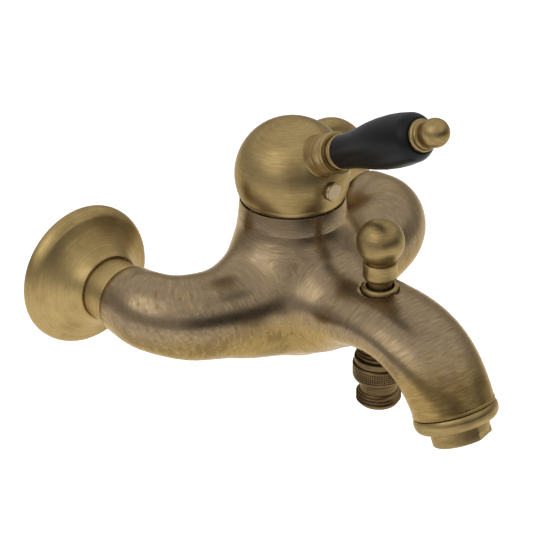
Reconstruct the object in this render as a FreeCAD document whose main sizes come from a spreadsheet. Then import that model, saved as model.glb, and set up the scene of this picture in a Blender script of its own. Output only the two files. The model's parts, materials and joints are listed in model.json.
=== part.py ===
"""Wall-mounted bath mixer with a ball cap, a pull-up diverter and a shower outlet.

Frame: millimetres, +Z up. The wall is the plane y = 0 and the mixer stands out
towards -Y. The origin lies on the wall, midway between the two inlets.
"""
import FreeCAD
import Part
import math
import os
import Sketcher

Vector = FreeCAD.Vector
Rotation = FreeCAD.Rotation
Placement = FreeCAD.Placement

doc = FreeCAD.newDocument("bath_mixer")
sheet = doc.addObject("Spreadsheet::Sheet", "Sizes")


class Size:
    """A length or an angle: its number, and the expression that gives it."""

    def __init__(self, number, text):
        self.number = float(number)
        self.text = text

    def __add__(self, other):
        other = as_size(other)
        return Size(self.number + other.number, f"({self.text} + {other.text})")

    def __sub__(self, other):
        other = as_size(other)
        return Size(self.number - other.number, f"({self.text} - {other.text})")

    def __mul__(self, factor):
        factor = as_size(factor)
        return Size(self.number * factor.number, f"({self.text} * {factor.text})")

    def __truediv__(self, divisor):
        divisor = as_size(divisor)
        return Size(self.number / divisor.number, f"({self.text} / {divisor.text})")

    def __rsub__(self, other):
        return as_size(other) - self

    def __neg__(self):
        return Size(-self.number, f"(0 - {self.text})")

    __radd__ = __add__
    __rmul__ = __mul__

    def root(self):
        return Size(math.sqrt(self.number), f"sqrt({self.text})")


def as_size(value):
    return value if isinstance(value, Size) else Size(value, repr(float(value)))


def leg(hypotenuse, side):
    """The other leg of a right triangle."""
    return (hypotenuse * hypotenuse - side * side).root()


def driving(**sizes):
    """Write sizes to the sheet, one row each, and return them by name."""
    named = {}
    for alias, number in sizes.items():
        driving.row += 1
        sheet.set(f"A{driving.row}", alias)
        sheet.set(f"B{driving.row}", str(number))
        sheet.setAlias(f"B{driving.row}", alias)
        named[alias] = Size(number, f"Sizes.{alias}")
    return named


driving.row = 0


# Sketches and turned pieces

def origin_plane(body, role):
    for feature in body.Origin.OriginFeatures:
        if feature.Role == role:
            return feature
    raise ValueError(role)


def new_sketch(body, name, role):
    sketch = body.newObject("Sketcher::SketchObject", name)
    sketch.AttachmentSupport = [(origin_plane(body, role), "")]
    sketch.MapMode = "FlatFace"
    return sketch


def hold(sketch, edge, end, axis, value):
    """Fix one coordinate of an edge's end to a size."""
    value = as_size(value)
    if value.text == as_size(0).text:
        sketch.addConstraint(Sketcher.Constraint("PointOnObject", edge, end, -2 if axis == "X" else -1))
        return
    kind = "Distance" + axis
    if value.number < 0:
        index = sketch.addConstraint(Sketcher.Constraint(kind, edge, end, -1, 1, -value.number))
        sketch.setExpression(f"Constraints[{index}]", (-value).text)
    else:
        index = sketch.addConstraint(Sketcher.Constraint(kind, -1, 1, edge, end, value.number))
        sketch.setExpression(f"Constraints[{index}]", value.text)


def arc_between(start, end, radius):
    """An arc of the given radius; a positive one bulges to the right of start to end."""
    chord = end - start
    half = chord.Length / 2
    rise = math.sqrt(max(radius * radius - half * half, 0))
    left = Vector(-chord.y, chord.x, 0) / chord.Length
    side = 1 if radius > 0 else -1
    centre = (start + end) / 2 + left * rise * side
    circle = Part.Circle(centre, Vector(0, 0, 1), abs(radius))
    first = math.atan2(start.y - centre.y, start.x - centre.x)
    last = math.atan2(end.y - centre.y, end.x - centre.x)
    if side < 0:
        first, last = last, first
    if last < first:
        last += 2 * math.pi
    return Part.ArcOfCircle(circle, first, last)


def draw_outline(sketch, outline):
    """Draw a closed outline of (x, y) points; (x, y, radius) is reached by an arc."""
    points = [(as_size(point[0]), as_size(point[1])) for point in outline]
    places = [Vector(x.number, y.number, 0) for x, y in points]
    ends = []
    for index, point in enumerate(outline):
        start = places[index - 1]
        end = places[index]
        if len(point) == 2:
            edge = sketch.addGeometry(Part.LineSegment(start, end))
            ends.append((edge, 1, 2))
            continue
        radius = as_size(point[2])
        edge = sketch.addGeometry(arc_between(start, end, radius.number))
        ends.append((edge, 1, 2) if radius.number > 0 else (edge, 2, 1))
        size = radius if radius.number > 0 else -radius
        constraint = sketch.addConstraint(Sketcher.Constraint("Radius", edge, size.number))
        sketch.setExpression(f"Constraints[{constraint}]", size.text)
    for index, (edge, first, last) in enumerate(ends):
        following = ends[(index + 1) % len(ends)]
        sketch.addConstraint(Sketcher.Constraint("Coincident", edge, last, following[0], following[1]))
        hold(sketch, edge, last, "X", points[index][0])
        hold(sketch, edge, last, "Y", points[index][1])


def place(piece, x=0, y=0, z=0, turn=None):
    """Bind a piece's place to sizes; turn is its angle about X."""
    for axis, value in (("x", x), ("y", y), ("z", z)):
        value = as_size(value)
        setattr(piece.Placement.Base, axis, value.number)
        piece.setExpression(f"Placement.Base.{axis}", value.text)
    if turn is not None:
        turn = as_size(turn)
        base = piece.Placement.Base
        piece.Placement = Placement(base, Rotation(Vector(1, 0, 0), turn.number))
        piece.setExpression("Placement.Rotation.Angle", turn.text)
    return piece


def turned(name, outline, **where):
    """A piece turned about its own Z axis from (radius, height) points."""
    body = doc.addObject("PartDesign::Body", name)
    body.Label = name
    sketch = new_sketch(body, name + "_outline", "XZ_Plane")
    draw_outline(sketch, outline)
    revolution = body.newObject("PartDesign::Revolution", name + "_turning")
    revolution.Profile = sketch
    revolution.ReferenceAxis = (sketch, ["V_Axis"])
    revolution.Angle = 360
    return place(body, **where)


def ring_outline(inner, outer, low, high):
    return [(inner, low), (outer, low), (outer, high), (inner, high)]


def peg_outline(radius, low, high):
    return [(0, low), (radius, low), (radius, high), (0, high)]


def rod(name, radius, length, **where):
    """A plain cylinder along its own Z axis."""
    cylinder = doc.addObject("Part::Cylinder", name)
    cylinder.setExpression("Radius", as_size(radius).text)
    cylinder.setExpression("Height", as_size(length).text)
    return place(cylinder, **where)


def cross_rod(name, radius, length, x, y, z):
    """A cylinder along X that starts at x."""
    cylinder = rod(name, radius, length, x=x, y=y, z=z)
    cylinder.Placement = Placement(cylinder.Placement.Base, Rotation(Vector(0, 1, 0), 90))
    return cylinder


def block(name, length, width, height, x=0, y=0, z=0):
    """A box centred on x and y, standing on z."""
    box = doc.addObject("Part::Box", name)
    length, width, height = as_size(length), as_size(width), as_size(height)
    box.setExpression("Length", length.text)
    box.setExpression("Width", width.text)
    box.setExpression("Height", height.text)
    return place(box, as_size(x) - length / 2, as_size(y) - width / 2, as_size(z))


def joined(name, pieces):
    fusion = doc.addObject("Part::MultiFuse", name)
    fusion.Shapes = pieces
    fusion.Refine = False
    return fusion


def less(name, base, tools):
    """The base with the tools cut away."""
    cut = doc.addObject("Part::Cut", name)
    cut.Base = base
    cut.Tool = tools[0] if len(tools) == 1 else joined(name + "_tools", tools)
    return cut


def solid(name, shape):
    """A document object around a shape that is worked out here."""
    feature = doc.addObject("Part::Feature", name)
    feature.Shape = shape
    return feature


kept = {}


def keep(piece, node):
    """Name the object that is written as a node."""
    piece.Label = node
    kept[node] = piece
    return piece


# Driving dimensions

fits = driving(
    thread_play=0.05,
    running_play=0.08,
    cut_over=1.0,
)
inlet = driving(
    inlet_spacing=150.0,
    wall_thread_radius=10.48,
    wall_thread_length=14.0,
    wall_eccentricity=5.0,
    wall_bore_radius=7.5,
    union_disc_radius=16.0,
    union_disc_length=6.0,
    union_thread_radius=13.2,
    union_end=23.0,
    union_bore_radius=10.0,
    union_step=3.0,
    nut_radius=15.0,
    nut_start=13.0,
    nut_end=33.0,
    washer_thickness=2.4,
    washer_bore=8.6,
    tail_flange_radius=12.8,
    tail_flange_thickness=3.4,
    tail_radius=10.2,
    tail_bore=7.6,
    tail_end=45.0,
    tail_clearance=3.0,
)
flange = driving(
    flange_radius=34.0,
    flange_depth=21.0,
    flange_wall=1.5,
    flange_rim=5.6,
    flange_edge=1.8,
    flange_flare=24.0,
    flange_mouth=1.2,
    flange_play=0.1,
)
casting = driving(
    arm_start=33.3,
    arm_end_radius=14.9,
    arm_shoulder=42.2,
    arm_shoulder_radius=17.2,
    arm_bend=74.0,
    arm_knee_x=35.0,
    arm_knee_y=66.0,
    centre_y=64.0,
    centre_z=-9.8,
    arm_radius_outer=19.4,
    arm_height_inner=23.4,
    arm_depth_inner=23.0,
    centre_height=33.0,
    centre_depth=29.7,
    spout_root_radius=35.2,
    spout_root_y=59.0,
    spout_run=29.0,
    spout_dip=5.9,
    spout_bend=57.4,
    spout_lean=23.8,
    spout_end_y=170.6,
    spout_end_z=-27.2,
    spout_width_back=24.0,
    spout_width_front=22.5,
    spout_height_back=19.8,
    spout_height_front=13.4,
    spout_end_radius=18.6,
    arm_waterway=12.0,
    waterway_width=15.0,
    waterway_height=10.6,
    mixed_port_depth=8.0,
    mixed_port_radius=4.0,
    mixed_port_end=92.0,
)
neck = driving(
    cap_y=65.2,
    pivot_z=50.3,
    neck_setback=2.1,
    neck_rim_z=38.5,
    neck_waist_radius=26.6,
    neck_waist_z=20.0,
    neck_curve_high=110.0,
    neck_flare_radius=30.2,
    neck_flare_z=6.0,
    neck_curve_low=34.0,
    belly_radius=32.2,
    belly_z=-5.0,
    belly_shoulder=19.8,
    belly_bottom_z=-39.0,
    belly_curve=38.6,
    neck_bore_radius=20.1,
    neck_bore_z=24.0,
    seat_z=11.4,
)
cap = driving(
    cap_radius=26.7,
    cap_wall=2.0,
    cap_play=0.2,
    cap_edge_drop=8.6,
    cap_ring_height=2.1,
    cap_ring_depth=5.1,
    cap_spigot_height=2.0,
    cap_spigot_wall=1.2,
    stem_boss_radius=8.0,
    stem_boss_rise=8.6,
    plug_seat=26.3,
    plug_radius=4.4,
    plug_thickness=2.4,
    plug_edge=0.6,
    plug_stem_radius=3.0,
    plug_stem_end=20.5,
    screw_radius=2.5,
    screw_length=14.0,
    screw_boss_radius=4.5,
    screw_boss_start=6.4,
)
cartridge = driving(
    housing_radius=18.4,
    housing_inner=14.4,
    housing_shoulder=15.6,
    housing_height=18.8,
    housing_top_radius=16.0,
    housing_lip=2.6,
    base_thickness=4.0,
    port_radius=3.0,
    port_reach=8.6,
    port_angle=30.0,
    seal_radius=4.4,
    seal_height=1.6,
    channel_depth=1.6,
    channel_radius=1.5,
    inlet_hole_x=5.0,
    inlet_hole_y=0.5,
    outlet_hole_y=3.4,
    hole_radius=2.4,
    disc_thickness=3.4,
    disc_gap=0.05,
    moving_disc_radius=9.8,
    disc_shift=4.4,
    disc_recess_radius=4.2,
    disc_recess_offset=3.0,
    disc_recess_depth=1.6,
    slider_radius=8.4,
    slider_height=3.0,
    slider_collar_radius=3.6,
    slider_collar_height=2.1,
    slider_pocket=2.2,
    carrier_flange_height=2.2,
    carrier_sill=2.0,
    carrier_radius=12.4,
    carrier_rise=4.3,
    carrier_slot=10.0,
    carrier_slot_back=5.2,
    carrier_window_front=12.6,
    stem_radius=4.6,
    stem_rise=17.7,
    stem_drop=25.2,
    stem_tip_radius=2.0,
    stem_neck_radius=1.3,
    stem_neck_top=3.5,
    stem_cone_top=11.0,
    pin_radius=2.0,
    ring_nut_height=4.2,
    ring_nut_notch=3.0,
)
lever = driving(
    lever_angle=26.0,
    lever_root=5.3,
    hub_radius=9.2,
    hub_start=18.0,
    hub_end=33.2,
    hub_recess=1.2,
    collar_radius=7.4,
    collar_step=4.4,
    collar_ring_radius=8.1,
    collar_length=5.8,
    handle_length=52.5,
    handle_start_radius=7.0,
    handle_edge=0.8,
    handle_waist_radius=9.1,
    handle_waist_at=13.8,
    handle_hollow=80.0,
    handle_widest=11.65,
    handle_widest_at=36.0,
    handle_swell=100.0,
    handle_shoulder=10.7,
    handle_shoulder_at=48.4,
    handle_taper=81.0,
    handle_end_radius=7.9,
    handle_end_curve=7.0,
    ferrule_length=4.0,
    ferrule_radius=7.0,
    ferrule_step_radius=5.6,
    ferrule_step=2.4,
    finial_radius=6.3,
    finial_foot=4.7,
    finial_foot_length=0.9,
    rod_radius=3.0,
    rod_start=24.0,
    rod_setback=1.8,
)
diverter = driving(
    diverter_y=123.4,
    knob_ball_z=36.6,
    knob_ball_radius=10.8,
    knob_ball_foot=8.6,
    knob_groove=0.8,
    knob_collar_radius=7.75,
    knob_collar_height=8.9,
    knob_collar_round=2.3,
    knob_collar_edge=0.9,
    knob_neck_radius=5.6,
    knob_neck_bottom=9.7,
    bushing_radius=8.3,
    bushing_top=15.4,
    bushing_edge=0.7,
    bushing_hole=6.3,
    bushing_seat=11.0,
    bushing_recess=0.3,
    bushing_thread_radius=7.6,
    bushing_bottom=6.6,
    bushing_floor=2.8,
    bushing_boss_radius=10.4,
    valve_chamber_radius=9.8,
    seal_groove_radius=4.35,
    seal_groove_low=7.3,
    seal_groove_high=8.7,
    spindle_radius=2.6,
    spindle_top=25.0,
    spindle_collar_radius=4.0,
    spindle_collar_height=1.6,
    outlet_seat_z=-10.4,
    washer_radius=8.6,
    washer_height=1.7,
    valve_disc_radius=8.8,
    valve_disc_height=1.6,
    valve_nut_radius=4.6,
    valve_nut_height=2.4,
    valve_travel=6.8,
    valve_play=0.1,
    partition_thickness=2.4,
    partition_hole=6.6,
    partition_back=106.0,
    partition_front=139.0,
    web_thickness=2.4,
)
outlet = driving(
    nipple_radius=10.48,
    nipple_bore=7.0,
    nipple_thread_end=-20.8,
    nipple_band_radius=11.3,
    nipple_band_end=-24.0,
    nipple_tip_radius=10.6,
    nipple_end=-27.4,
    coupling_radius=12.1,
    coupling_knurl_end=-31.0,
    coupling_end=-33.4,
    coupling_end_radius=9.6,
    coupling_round=3.2,
    seal_thickness=1.4,
    outlet_flange_thickness=1.8,
    outlet_flange_radius=10.4,
    outlet_neck_radius=8.5,
    outlet_thread_radius=10.48,
    outlet_thread_top=-38.4,
    outlet_end=-45.5,
    outlet_bore=6.3,
    check_top=-17.0,
    check_seat_height=2.2,
    check_hole=4.0,
    check_wall=0.9,
    poppet_radius=5.0,
    poppet_height=1.6,
    poppet_stem=1.2,
    check_floor=1.2,
    check_flow_hole=1.5,
    check_flow_reach=4.0,
    spring_wire=0.3,
    spring_radius=2.7,
    spring_coils=4.0,
)
mouth = driving(
    spout_ring_gap=0.5,
    spout_ring_top_radius=18.4,
    spout_ring_foot_radius=17.2,
    spout_ring_length=6.6,
    spout_ring_curve=4.5,
    spout_bore_radius=14.0,
    spout_thread_depth=8.0,
    aerator_radius=13.5,
    aerator_length=14.5,
    aerator_bore=11.2,
    aerator_lip_radius=10.4,
    aerator_lip=1.6,
    insert_height=8.6,
    insert_lip_radius=9.0,
    insert_bore=9.6,
    insert_lip=1.4,
    insert_plate=2.0,
    screen_thickness=0.8,
    aerator_washer_height=1.6,
    aerator_washer_bore=8.0,
    wrench_flat=12.0,
    wrench_flat_height=3.0,
    wrench_flat_turn=20.0,
)

size = {}
for group in (fits, inlet, flange, casting, neck, cap, cartridge, lever, diverter, outlet, mouth):
    size.update(group)
number = {name: value.number for name, value in size.items()}
play = size["thread_play"]
running = size["running_play"]
over = size["cut_over"]
half_spacing = size["inlet_spacing"] / 2
sides = {"left": -half_spacing, "right": half_spacing}
quarter_turn = 90.0
UP = Vector(0, 0, 1)
ACROSS = Vector(1, 0, 0)
ALMOST_ROUND = 1.0001
WHOLE_CIRCLE = 360.0
HEXAGON = 6
FLOW_HOLES = 4

# The casting: arms and spout are lofts along two curves


def on_bezier(points, share):
    """A point and the direction of travel on a cubic curve."""
    rest = 1 - share
    weights = (rest ** 3, 3 * rest ** 2 * share, 3 * rest * share ** 2, share ** 3)
    spot = Vector()
    for point, weight in zip(points, weights):
        spot += point * weight
    travel = Vector()
    for index, slope in enumerate((rest ** 2, 2 * rest * share, share ** 2)):
        travel += (points[index + 1] - points[index]) * slope
    return spot, travel.normalize()


def through_four(values, share):
    """The cubic through four values at 0, 1/3, 2/3 and 1."""
    knots = (0, 1 / 3, 2 / 3, 1)
    total = 0
    for index, value in enumerate(values):
        weight = 1
        for other, knot in enumerate(knots):
            if other != index:
                weight *= (share - knot) / (knots[index] - knot)
        total += value * weight
    return total


def oval(centre, travel, across, half_width, half_height):
    """A section square to the travel, with half_width along across."""
    upward = travel.cross(across).normalize()
    across = upward.cross(travel).normalize()
    if half_height > half_width:
        across, upward = upward, across * -1
        half_width, half_height = half_height, half_width
    half_width = max(half_width, half_height * ALMOST_ROUND)
    ellipse = Part.Ellipse(centre + across * half_width, centre + upward * half_height, centre)
    return Part.Wire(ellipse.toShape())


def swept(curve, shares, widths, heights, across=ACROSS):
    """A loft of ovals along a curve; four widths and heights are spread over it."""
    wires = []
    for share in shares:
        centre, travel = on_bezier(curve, share)
        wires.append(oval(centre, travel, across, through_four(widths, share), through_four(heights, share)))
    return Part.makeLoft(wires, True, False)


arm_curve = (
    Vector(-half_spacing.number, -number["arm_shoulder"], 0),
    Vector(-half_spacing.number, -number["arm_bend"], 0),
    Vector(-number["arm_knee_x"], -number["arm_knee_y"], number["centre_z"]),
    Vector(0, -number["centre_y"], number["centre_z"]),
)
arm_heights = [number[name] for name in
               ("arm_shoulder_radius", "arm_radius_outer", "arm_height_inner", "centre_height")]
arm_depths = [number[name] for name in
              ("arm_shoulder_radius", "arm_radius_outer", "arm_depth_inner", "centre_depth")]
lean = math.radians(number["spout_lean"])
spout_end = Vector(0, -number["spout_end_y"], number["spout_end_z"])
spout_back = Vector(0, math.sin(lean), math.cos(lean))
spout_root = Vector(0, -number["spout_root_y"], number["centre_z"])
spout_curve = (
    spout_root,
    spout_root + Vector(0, -number["spout_run"], -number["spout_dip"]),
    spout_end + spout_back * number["spout_bend"],
    spout_end,
)
spout_widths = [number[name] for name in
                ("spout_root_radius", "spout_width_back", "spout_width_front", "spout_end_radius")]
spout_heights = [number[name] for name in
                 ("spout_root_radius", "spout_height_back", "spout_height_front", "spout_end_radius")]
SHOULDER_SHARES = (0, 0.12, 0.4)
ARM_SHARES = (0, 0.15, 0.3, 0.45, 0.6, 0.75, 0.88)
SPOUT_SHARES = (0.1, 0.22, 0.34, 0.46, 0.58, 0.7, 0.82, 0.92, 1)


def arm_stations():
    """Centre, travel, half height and half depth along the left arm, from its end to the middle."""
    stations = []
    depth = number["arm_shoulder"] - number["arm_start"]
    for share in SHOULDER_SHARES:
        centre = Vector(-half_spacing.number, -number["arm_start"] - depth * share, 0)
        swell = math.sqrt(1 - (1 - share) ** 2)
        widening = number["arm_shoulder_radius"] - number["arm_end_radius"]
        radius = number["arm_end_radius"] + widening * swell
        stations.append((centre, Vector(0, -1, 0), radius, radius))
    for share in ARM_SHARES:
        centre, travel = on_bezier(arm_curve, share)
        stations.append((centre, travel, through_four(arm_heights, share), through_four(arm_depths, share)))
    stations.append((arm_curve[3], ACROSS, number["centre_height"], number["centre_depth"]))
    return stations


def both_arms():
    """One loft through the left arm, the middle and the right arm."""
    stations = arm_stations()
    wires = [oval(centre, travel, UP, height, depth) for centre, travel, height, depth in stations]
    for centre, travel, height, depth in reversed(stations[:-1]):
        centre = Vector(-centre.x, centre.y, centre.z)
        travel = Vector(travel.x, -travel.y, -travel.z)
        wires.append(oval(centre, travel, UP, height, depth))
    return Part.makeLoft(wires, True, False)


arms = solid("arms", both_arms())
spout = solid("spout", swept(spout_curve, SPOUT_SHARES, spout_widths, spout_heights))

# The neck swells into a belly between the arms; its mouth is a socket for the ball of the cap

neck_radius = size["cap_radius"] - size["neck_setback"]
ball_socket = size["cap_radius"] + size["cap_play"]
socket_mouth = leg(ball_socket, size["pivot_z"] - size["neck_rim_z"])
socket_foot = size["pivot_z"] - leg(ball_socket, size["neck_bore_radius"])
head = {"y": -size["cap_y"]}
seat = size["seat_z"]
housing_bore = size["housing_radius"] + play
neck_body = turned("neck", [
    (0, size["belly_bottom_z"]),
    (size["belly_radius"], size["belly_z"], size["belly_curve"]),
    (size["neck_flare_radius"], size["neck_flare_z"], size["belly_shoulder"]),
    (size["neck_waist_radius"], size["neck_waist_z"], -size["neck_curve_low"]),
    (neck_radius, size["neck_rim_z"], -size["neck_curve_high"]),
    (0, size["neck_rim_z"]),
], **head)
neck_hollow = turned("neck_hollow", [
    (0, seat),
    (housing_bore, seat),
    (housing_bore, size["neck_bore_z"]),
    (size["neck_bore_radius"], size["neck_bore_z"]),
    (size["neck_bore_radius"], socket_foot),
    (socket_mouth, size["neck_rim_z"], ball_socket),
    (socket_mouth, size["pivot_z"]),
    (0, size["pivot_z"]),
], **head)

# Waterways inside the casting

ARM_HOLLOW_SHARES = (0.06, 0.2, 0.4, 0.6, 0.8, 0.95)
SPOUT_HOLLOW_SHARES = (0.28, 0.4, 0.52, 0.64, 0.76, 0.88, 1)
arm_bore_length = size["tail_end"] + size["tail_clearance"] - size["nut_end"]
hollows = [neck_hollow]
waterway = [number["arm_waterway"]] * len(arm_curve)
arm_hollow = swept(arm_curve, ARM_HOLLOW_SHARES, waterway, waterway, UP)
for side, inlet_x in sides.items():
    hollow = arm_hollow if side == "left" else arm_hollow.mirror(Vector(), ACROSS)
    hollows.append(solid("arm_hollow_" + side, hollow))
    hollows.append(rod("arm_bore_" + side, size["tail_radius"] + play, arm_bore_length,
                       x=inlet_x, y=-size["nut_end"], turn=quarter_turn))
port_angle = math.radians(number["port_angle"])
port_x = size["port_reach"] * math.cos(port_angle)
port_y = size["port_reach"] * math.sin(port_angle)
port_low = size["centre_z"]
PORTS = {"cold": (port_x, port_y), "hot": (-port_x, port_y), "mixed": (0, -size["port_reach"])}
for name, (x, y) in PORTS.items():
    hollows.append(rod("port_" + name, size["port_radius"], seat + over - port_low,
                       x=x, y=y - size["cap_y"], z=port_low))
mixed_y = size["cap_y"] + size["port_reach"]
hollows.append(rod("mixed_channel", size["mixed_port_radius"], size["mixed_port_end"] - mixed_y,
                   y=-mixed_y, z=-size["mixed_port_depth"], turn=quarter_turn))

# Below the diverter the spout's hollow is split by a plate with one hole

on_diverter = {"y": -size["diverter_y"]}
valve_low = size["outlet_seat_z"] + size["valve_play"]
disc_low = valve_low + size["washer_height"]
upper_low = disc_low + size["valve_disc_height"]
stack_top = upper_low + size["washer_height"]
plate_low = stack_top + size["valve_travel"] + size["valve_play"]
plate_top = plate_low + size["partition_thickness"]
widths = [number["waterway_width"]] * 3 + [number["aerator_radius"]]
heights = [number["waterway_height"]] * 3 + [number["aerator_radius"]]
open_spout = solid("open_spout", swept(spout_curve, SPOUT_HOLLOW_SHARES, widths, heights))
plate_length = size["partition_front"] - size["partition_back"]
middle_y = -(size["partition_front"] + size["partition_back"]) / 2
spout_span = size["spout_width_back"] * 2
tall = size["spout_root_radius"]
plate = less("partition_plate", block("plate", spout_span, plate_length, size["partition_thickness"],
                                      0, middle_y, plate_low),
             [rod("plate_hole", size["partition_hole"], size["partition_thickness"] + over * 2,
                  z=plate_low - over, **on_diverter)])
web_back = block("web_back", spout_span, size["web_thickness"], tall, 0,
                 -size["partition_back"] + size["web_thickness"] / 2, plate_low)
web_front = block("web_front", spout_span, size["web_thickness"], tall, 0,
                  -size["partition_front"] - size["web_thickness"] / 2, plate_top - tall)
boss = rod("bushing_boss", size["bushing_boss_radius"], tall, z=size["bushing_bottom"], **on_diverter)
hollows.append(less("spout_hollow", open_spout, [plate, web_back, web_front, boss]))
hollows.append(rod("bushing_pocket", size["bushing_radius"] + size["bushing_recess"], tall,
                   z=size["bushing_seat"], **on_diverter))
hollows.append(rod("bushing_thread_hole", size["bushing_thread_radius"] + play, tall,
                   z=size["bushing_bottom"] - over, **on_diverter))
hollows.append(rod("valve_chamber", size["valve_chamber_radius"], plate_low - size["outlet_seat_z"],
                   z=size["outlet_seat_z"], **on_diverter))
hollows.append(rod("nipple_hole", size["nipple_radius"] + play, tall,
                   z=size["outlet_seat_z"] - tall, **on_diverter))
mouth_place = {"y": -size["spout_end_y"], "z": size["spout_end_z"],
               "turn": WHOLE_CIRCLE - size["spout_lean"]}
hollows.append(rod("mouth_bore", size["spout_bore_radius"], size["spout_thread_depth"], **mouth_place))
keep(less("casting", joined("casting_solid", [arms, spout, neck_body]), hollows), "mixer_body")

# Wall unions, flanges, nuts and tails

lip_start = size["union_end"] + size["washer_thickness"] + size["tail_flange_thickness"]
nut_bore = size["union_thread_radius"] + play
mouth_radius = size["nut_radius"] + size["flange_play"]
rim_inside = size["flange_radius"] - size["flange_wall"]
wall_bore_length = size["wall_thread_length"] + size["union_disc_length"] + over
for side, inlet_x in sides.items():
    on_wall = {"x": inlet_x, "turn": quarter_turn}
    off_axis = -size["wall_eccentricity"]
    shape = joined("union_solid_" + side, [
        rod("wall_thread_" + side, size["wall_thread_radius"], size["wall_thread_length"] + over,
            y=off_axis, z=-size["wall_thread_length"]),
        rod("union_disc_" + side, size["union_disc_radius"], size["union_disc_length"], y=off_axis / 2),
        rod("union_thread_" + side, size["union_thread_radius"], size["union_end"]),
    ])
    union = less("union_" + side, shape, [
        rod("wall_bore_" + side, size["wall_bore_radius"], wall_bore_length,
            y=off_axis, z=-size["wall_thread_length"] - over),
        rod("union_bore_" + side, size["union_bore_radius"], size["union_end"],
            z=size["union_step"]),
    ])
    keep(place(union, **on_wall), "wall_union_" + side)
    keep(turned("flange_" + side, [
        (rim_inside, 0),
        (size["flange_radius"], 0),
        (size["flange_radius"], size["flange_rim"] - size["flange_edge"]),
        (size["flange_radius"] - size["flange_edge"], size["flange_rim"], size["flange_edge"]),
        (mouth_radius + size["flange_mouth"], size["flange_depth"], -size["flange_flare"]),
        (mouth_radius, size["flange_depth"]),
        (mouth_radius, size["flange_depth"] - size["flange_wall"]),
        (rim_inside - size["flange_edge"], size["flange_rim"] - size["flange_wall"],
         size["flange_flare"] + size["flange_wall"]),
        (rim_inside, size["flange_rim"] - size["flange_wall"] - size["flange_edge"]),
    ], **on_wall), "wall_flange_" + side)
    keep(turned("nut_" + side, [
        (nut_bore, size["nut_start"]),
        (size["nut_radius"], size["nut_start"]),
        (size["nut_radius"], size["nut_end"]),
        (size["tail_radius"] + play, size["nut_end"]),
        (size["tail_radius"] + play, lip_start),
        (nut_bore, lip_start),
    ], **on_wall), "union_nut_" + side)
    keep(turned("washer_" + side, ring_outline(
        size["washer_bore"], size["tail_flange_radius"], size["union_end"],
        size["union_end"] + size["washer_thickness"]), **on_wall), "inlet_washer_" + side)
    keep(turned("tail_" + side, [
        (size["tail_bore"], size["union_end"] + size["washer_thickness"]),
        (size["tail_flange_radius"], size["union_end"] + size["washer_thickness"]),
        (size["tail_flange_radius"], lip_start),
        (size["tail_radius"], lip_start),
        (size["tail_radius"], size["tail_end"]),
        (size["tail_bore"], size["tail_end"]),
    ], **on_wall), "inlet_tail_" + side)

# Cartridge: housing, base, seals, ceramic discs, carrier, stem and ring nut

base_top = seat + size["base_thickness"]
moving_low = base_top + size["disc_thickness"] + size["disc_gap"]
slider_low = moving_low + size["disc_thickness"]
slider_top = slider_low + size["slider_height"]
flange_low = slider_top + size["disc_gap"]
flange_top = flange_low + size["carrier_flange_height"]
housing_top = seat + size["housing_height"]
lip_low = housing_top - size["housing_lip"]
shoulder = seat + size["housing_shoulder"]
keep(turned("housing", [
    (size["housing_inner"], seat),
    (size["housing_radius"], seat),
    (size["housing_radius"], shoulder),
    (size["housing_top_radius"], shoulder),
    (size["housing_top_radius"], housing_top),
    (size["carrier_radius"] + running, housing_top),
    (size["carrier_radius"] + running, lip_low),
    (size["housing_inner"], lip_low),
], **head), "cartridge_housing")

base_tools = []
seals = []
for name, (x, y) in PORTS.items():
    where = {"x": x, "y": y - size["cap_y"]}
    base_tools.append(rod("base_port_" + name, size["port_radius"], size["base_thickness"] + over * 2,
                          z=seat - over, **where))
    base_tools.append(rod("seal_pocket_" + name, size["seal_radius"] + play, size["seal_height"] + over,
                          z=seat - over, **where))
    seals.append(turned("seal_" + name, ring_outline(
        size["port_radius"], size["seal_radius"], 0, size["seal_height"]), z=seat, **where))
HOLES = {
    "cold": (size["inlet_hole_x"], -size["inlet_hole_y"]),
    "hot": (-size["inlet_hole_x"], -size["inlet_hole_y"]),
    "mixed": (as_size(0), size["outlet_hole_y"]),
}
channel_low = base_top - size["channel_depth"]
disc_tools = []
for name, (x, y) in HOLES.items():
    where = {"x": x, "y": y - size["cap_y"]}
    disc_tools.append(rod("disc_hole_" + name, size["hole_radius"], size["disc_thickness"] + over * 2,
                          z=base_top - over, **where))
    base_tools.append(rod("base_hole_" + name, size["hole_radius"], size["channel_depth"] + over,
                          z=channel_low, **where))
    port = PORTS[name]
    start = Vector(x.number, y.number - number["cap_y"], channel_low.number)
    run = Vector(as_size(port[0]).number - x.number, port[1].number - y.number, 0)
    channel = Part.makeBox(run.Length, number["channel_radius"] * 2, number["channel_depth"] + over.number,
                           Vector(0, -number["channel_radius"], 0))
    channel.Placement = Placement(start, Rotation(UP, math.degrees(math.atan2(run.y, run.x))))
    base_tools.append(solid("channel_" + name, channel))
keep(less("base", rod("base_disc", size["housing_inner"] - play, size["base_thickness"], z=seat, **head),
          base_tools), "cartridge_base")
keep(joined("seals", seals), "port_seals")
keep(less("lower_ceramic", rod("lower_disc", size["housing_inner"] - play, size["disc_thickness"],
                               z=base_top, **head), disc_tools), "fixed_disc")
moving_y = size["disc_shift"] - size["cap_y"]
keep(less("upper_ceramic", rod("upper_disc", size["moving_disc_radius"], size["disc_thickness"],
                               y=moving_y, z=moving_low),
          [rod("disc_recess", size["disc_recess_radius"], size["disc_recess_depth"] + over,
               y=moving_y + size["disc_recess_offset"], z=moving_low - over)]), "moving_disc")
tip_hole = size["stem_tip_radius"] + running
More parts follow.
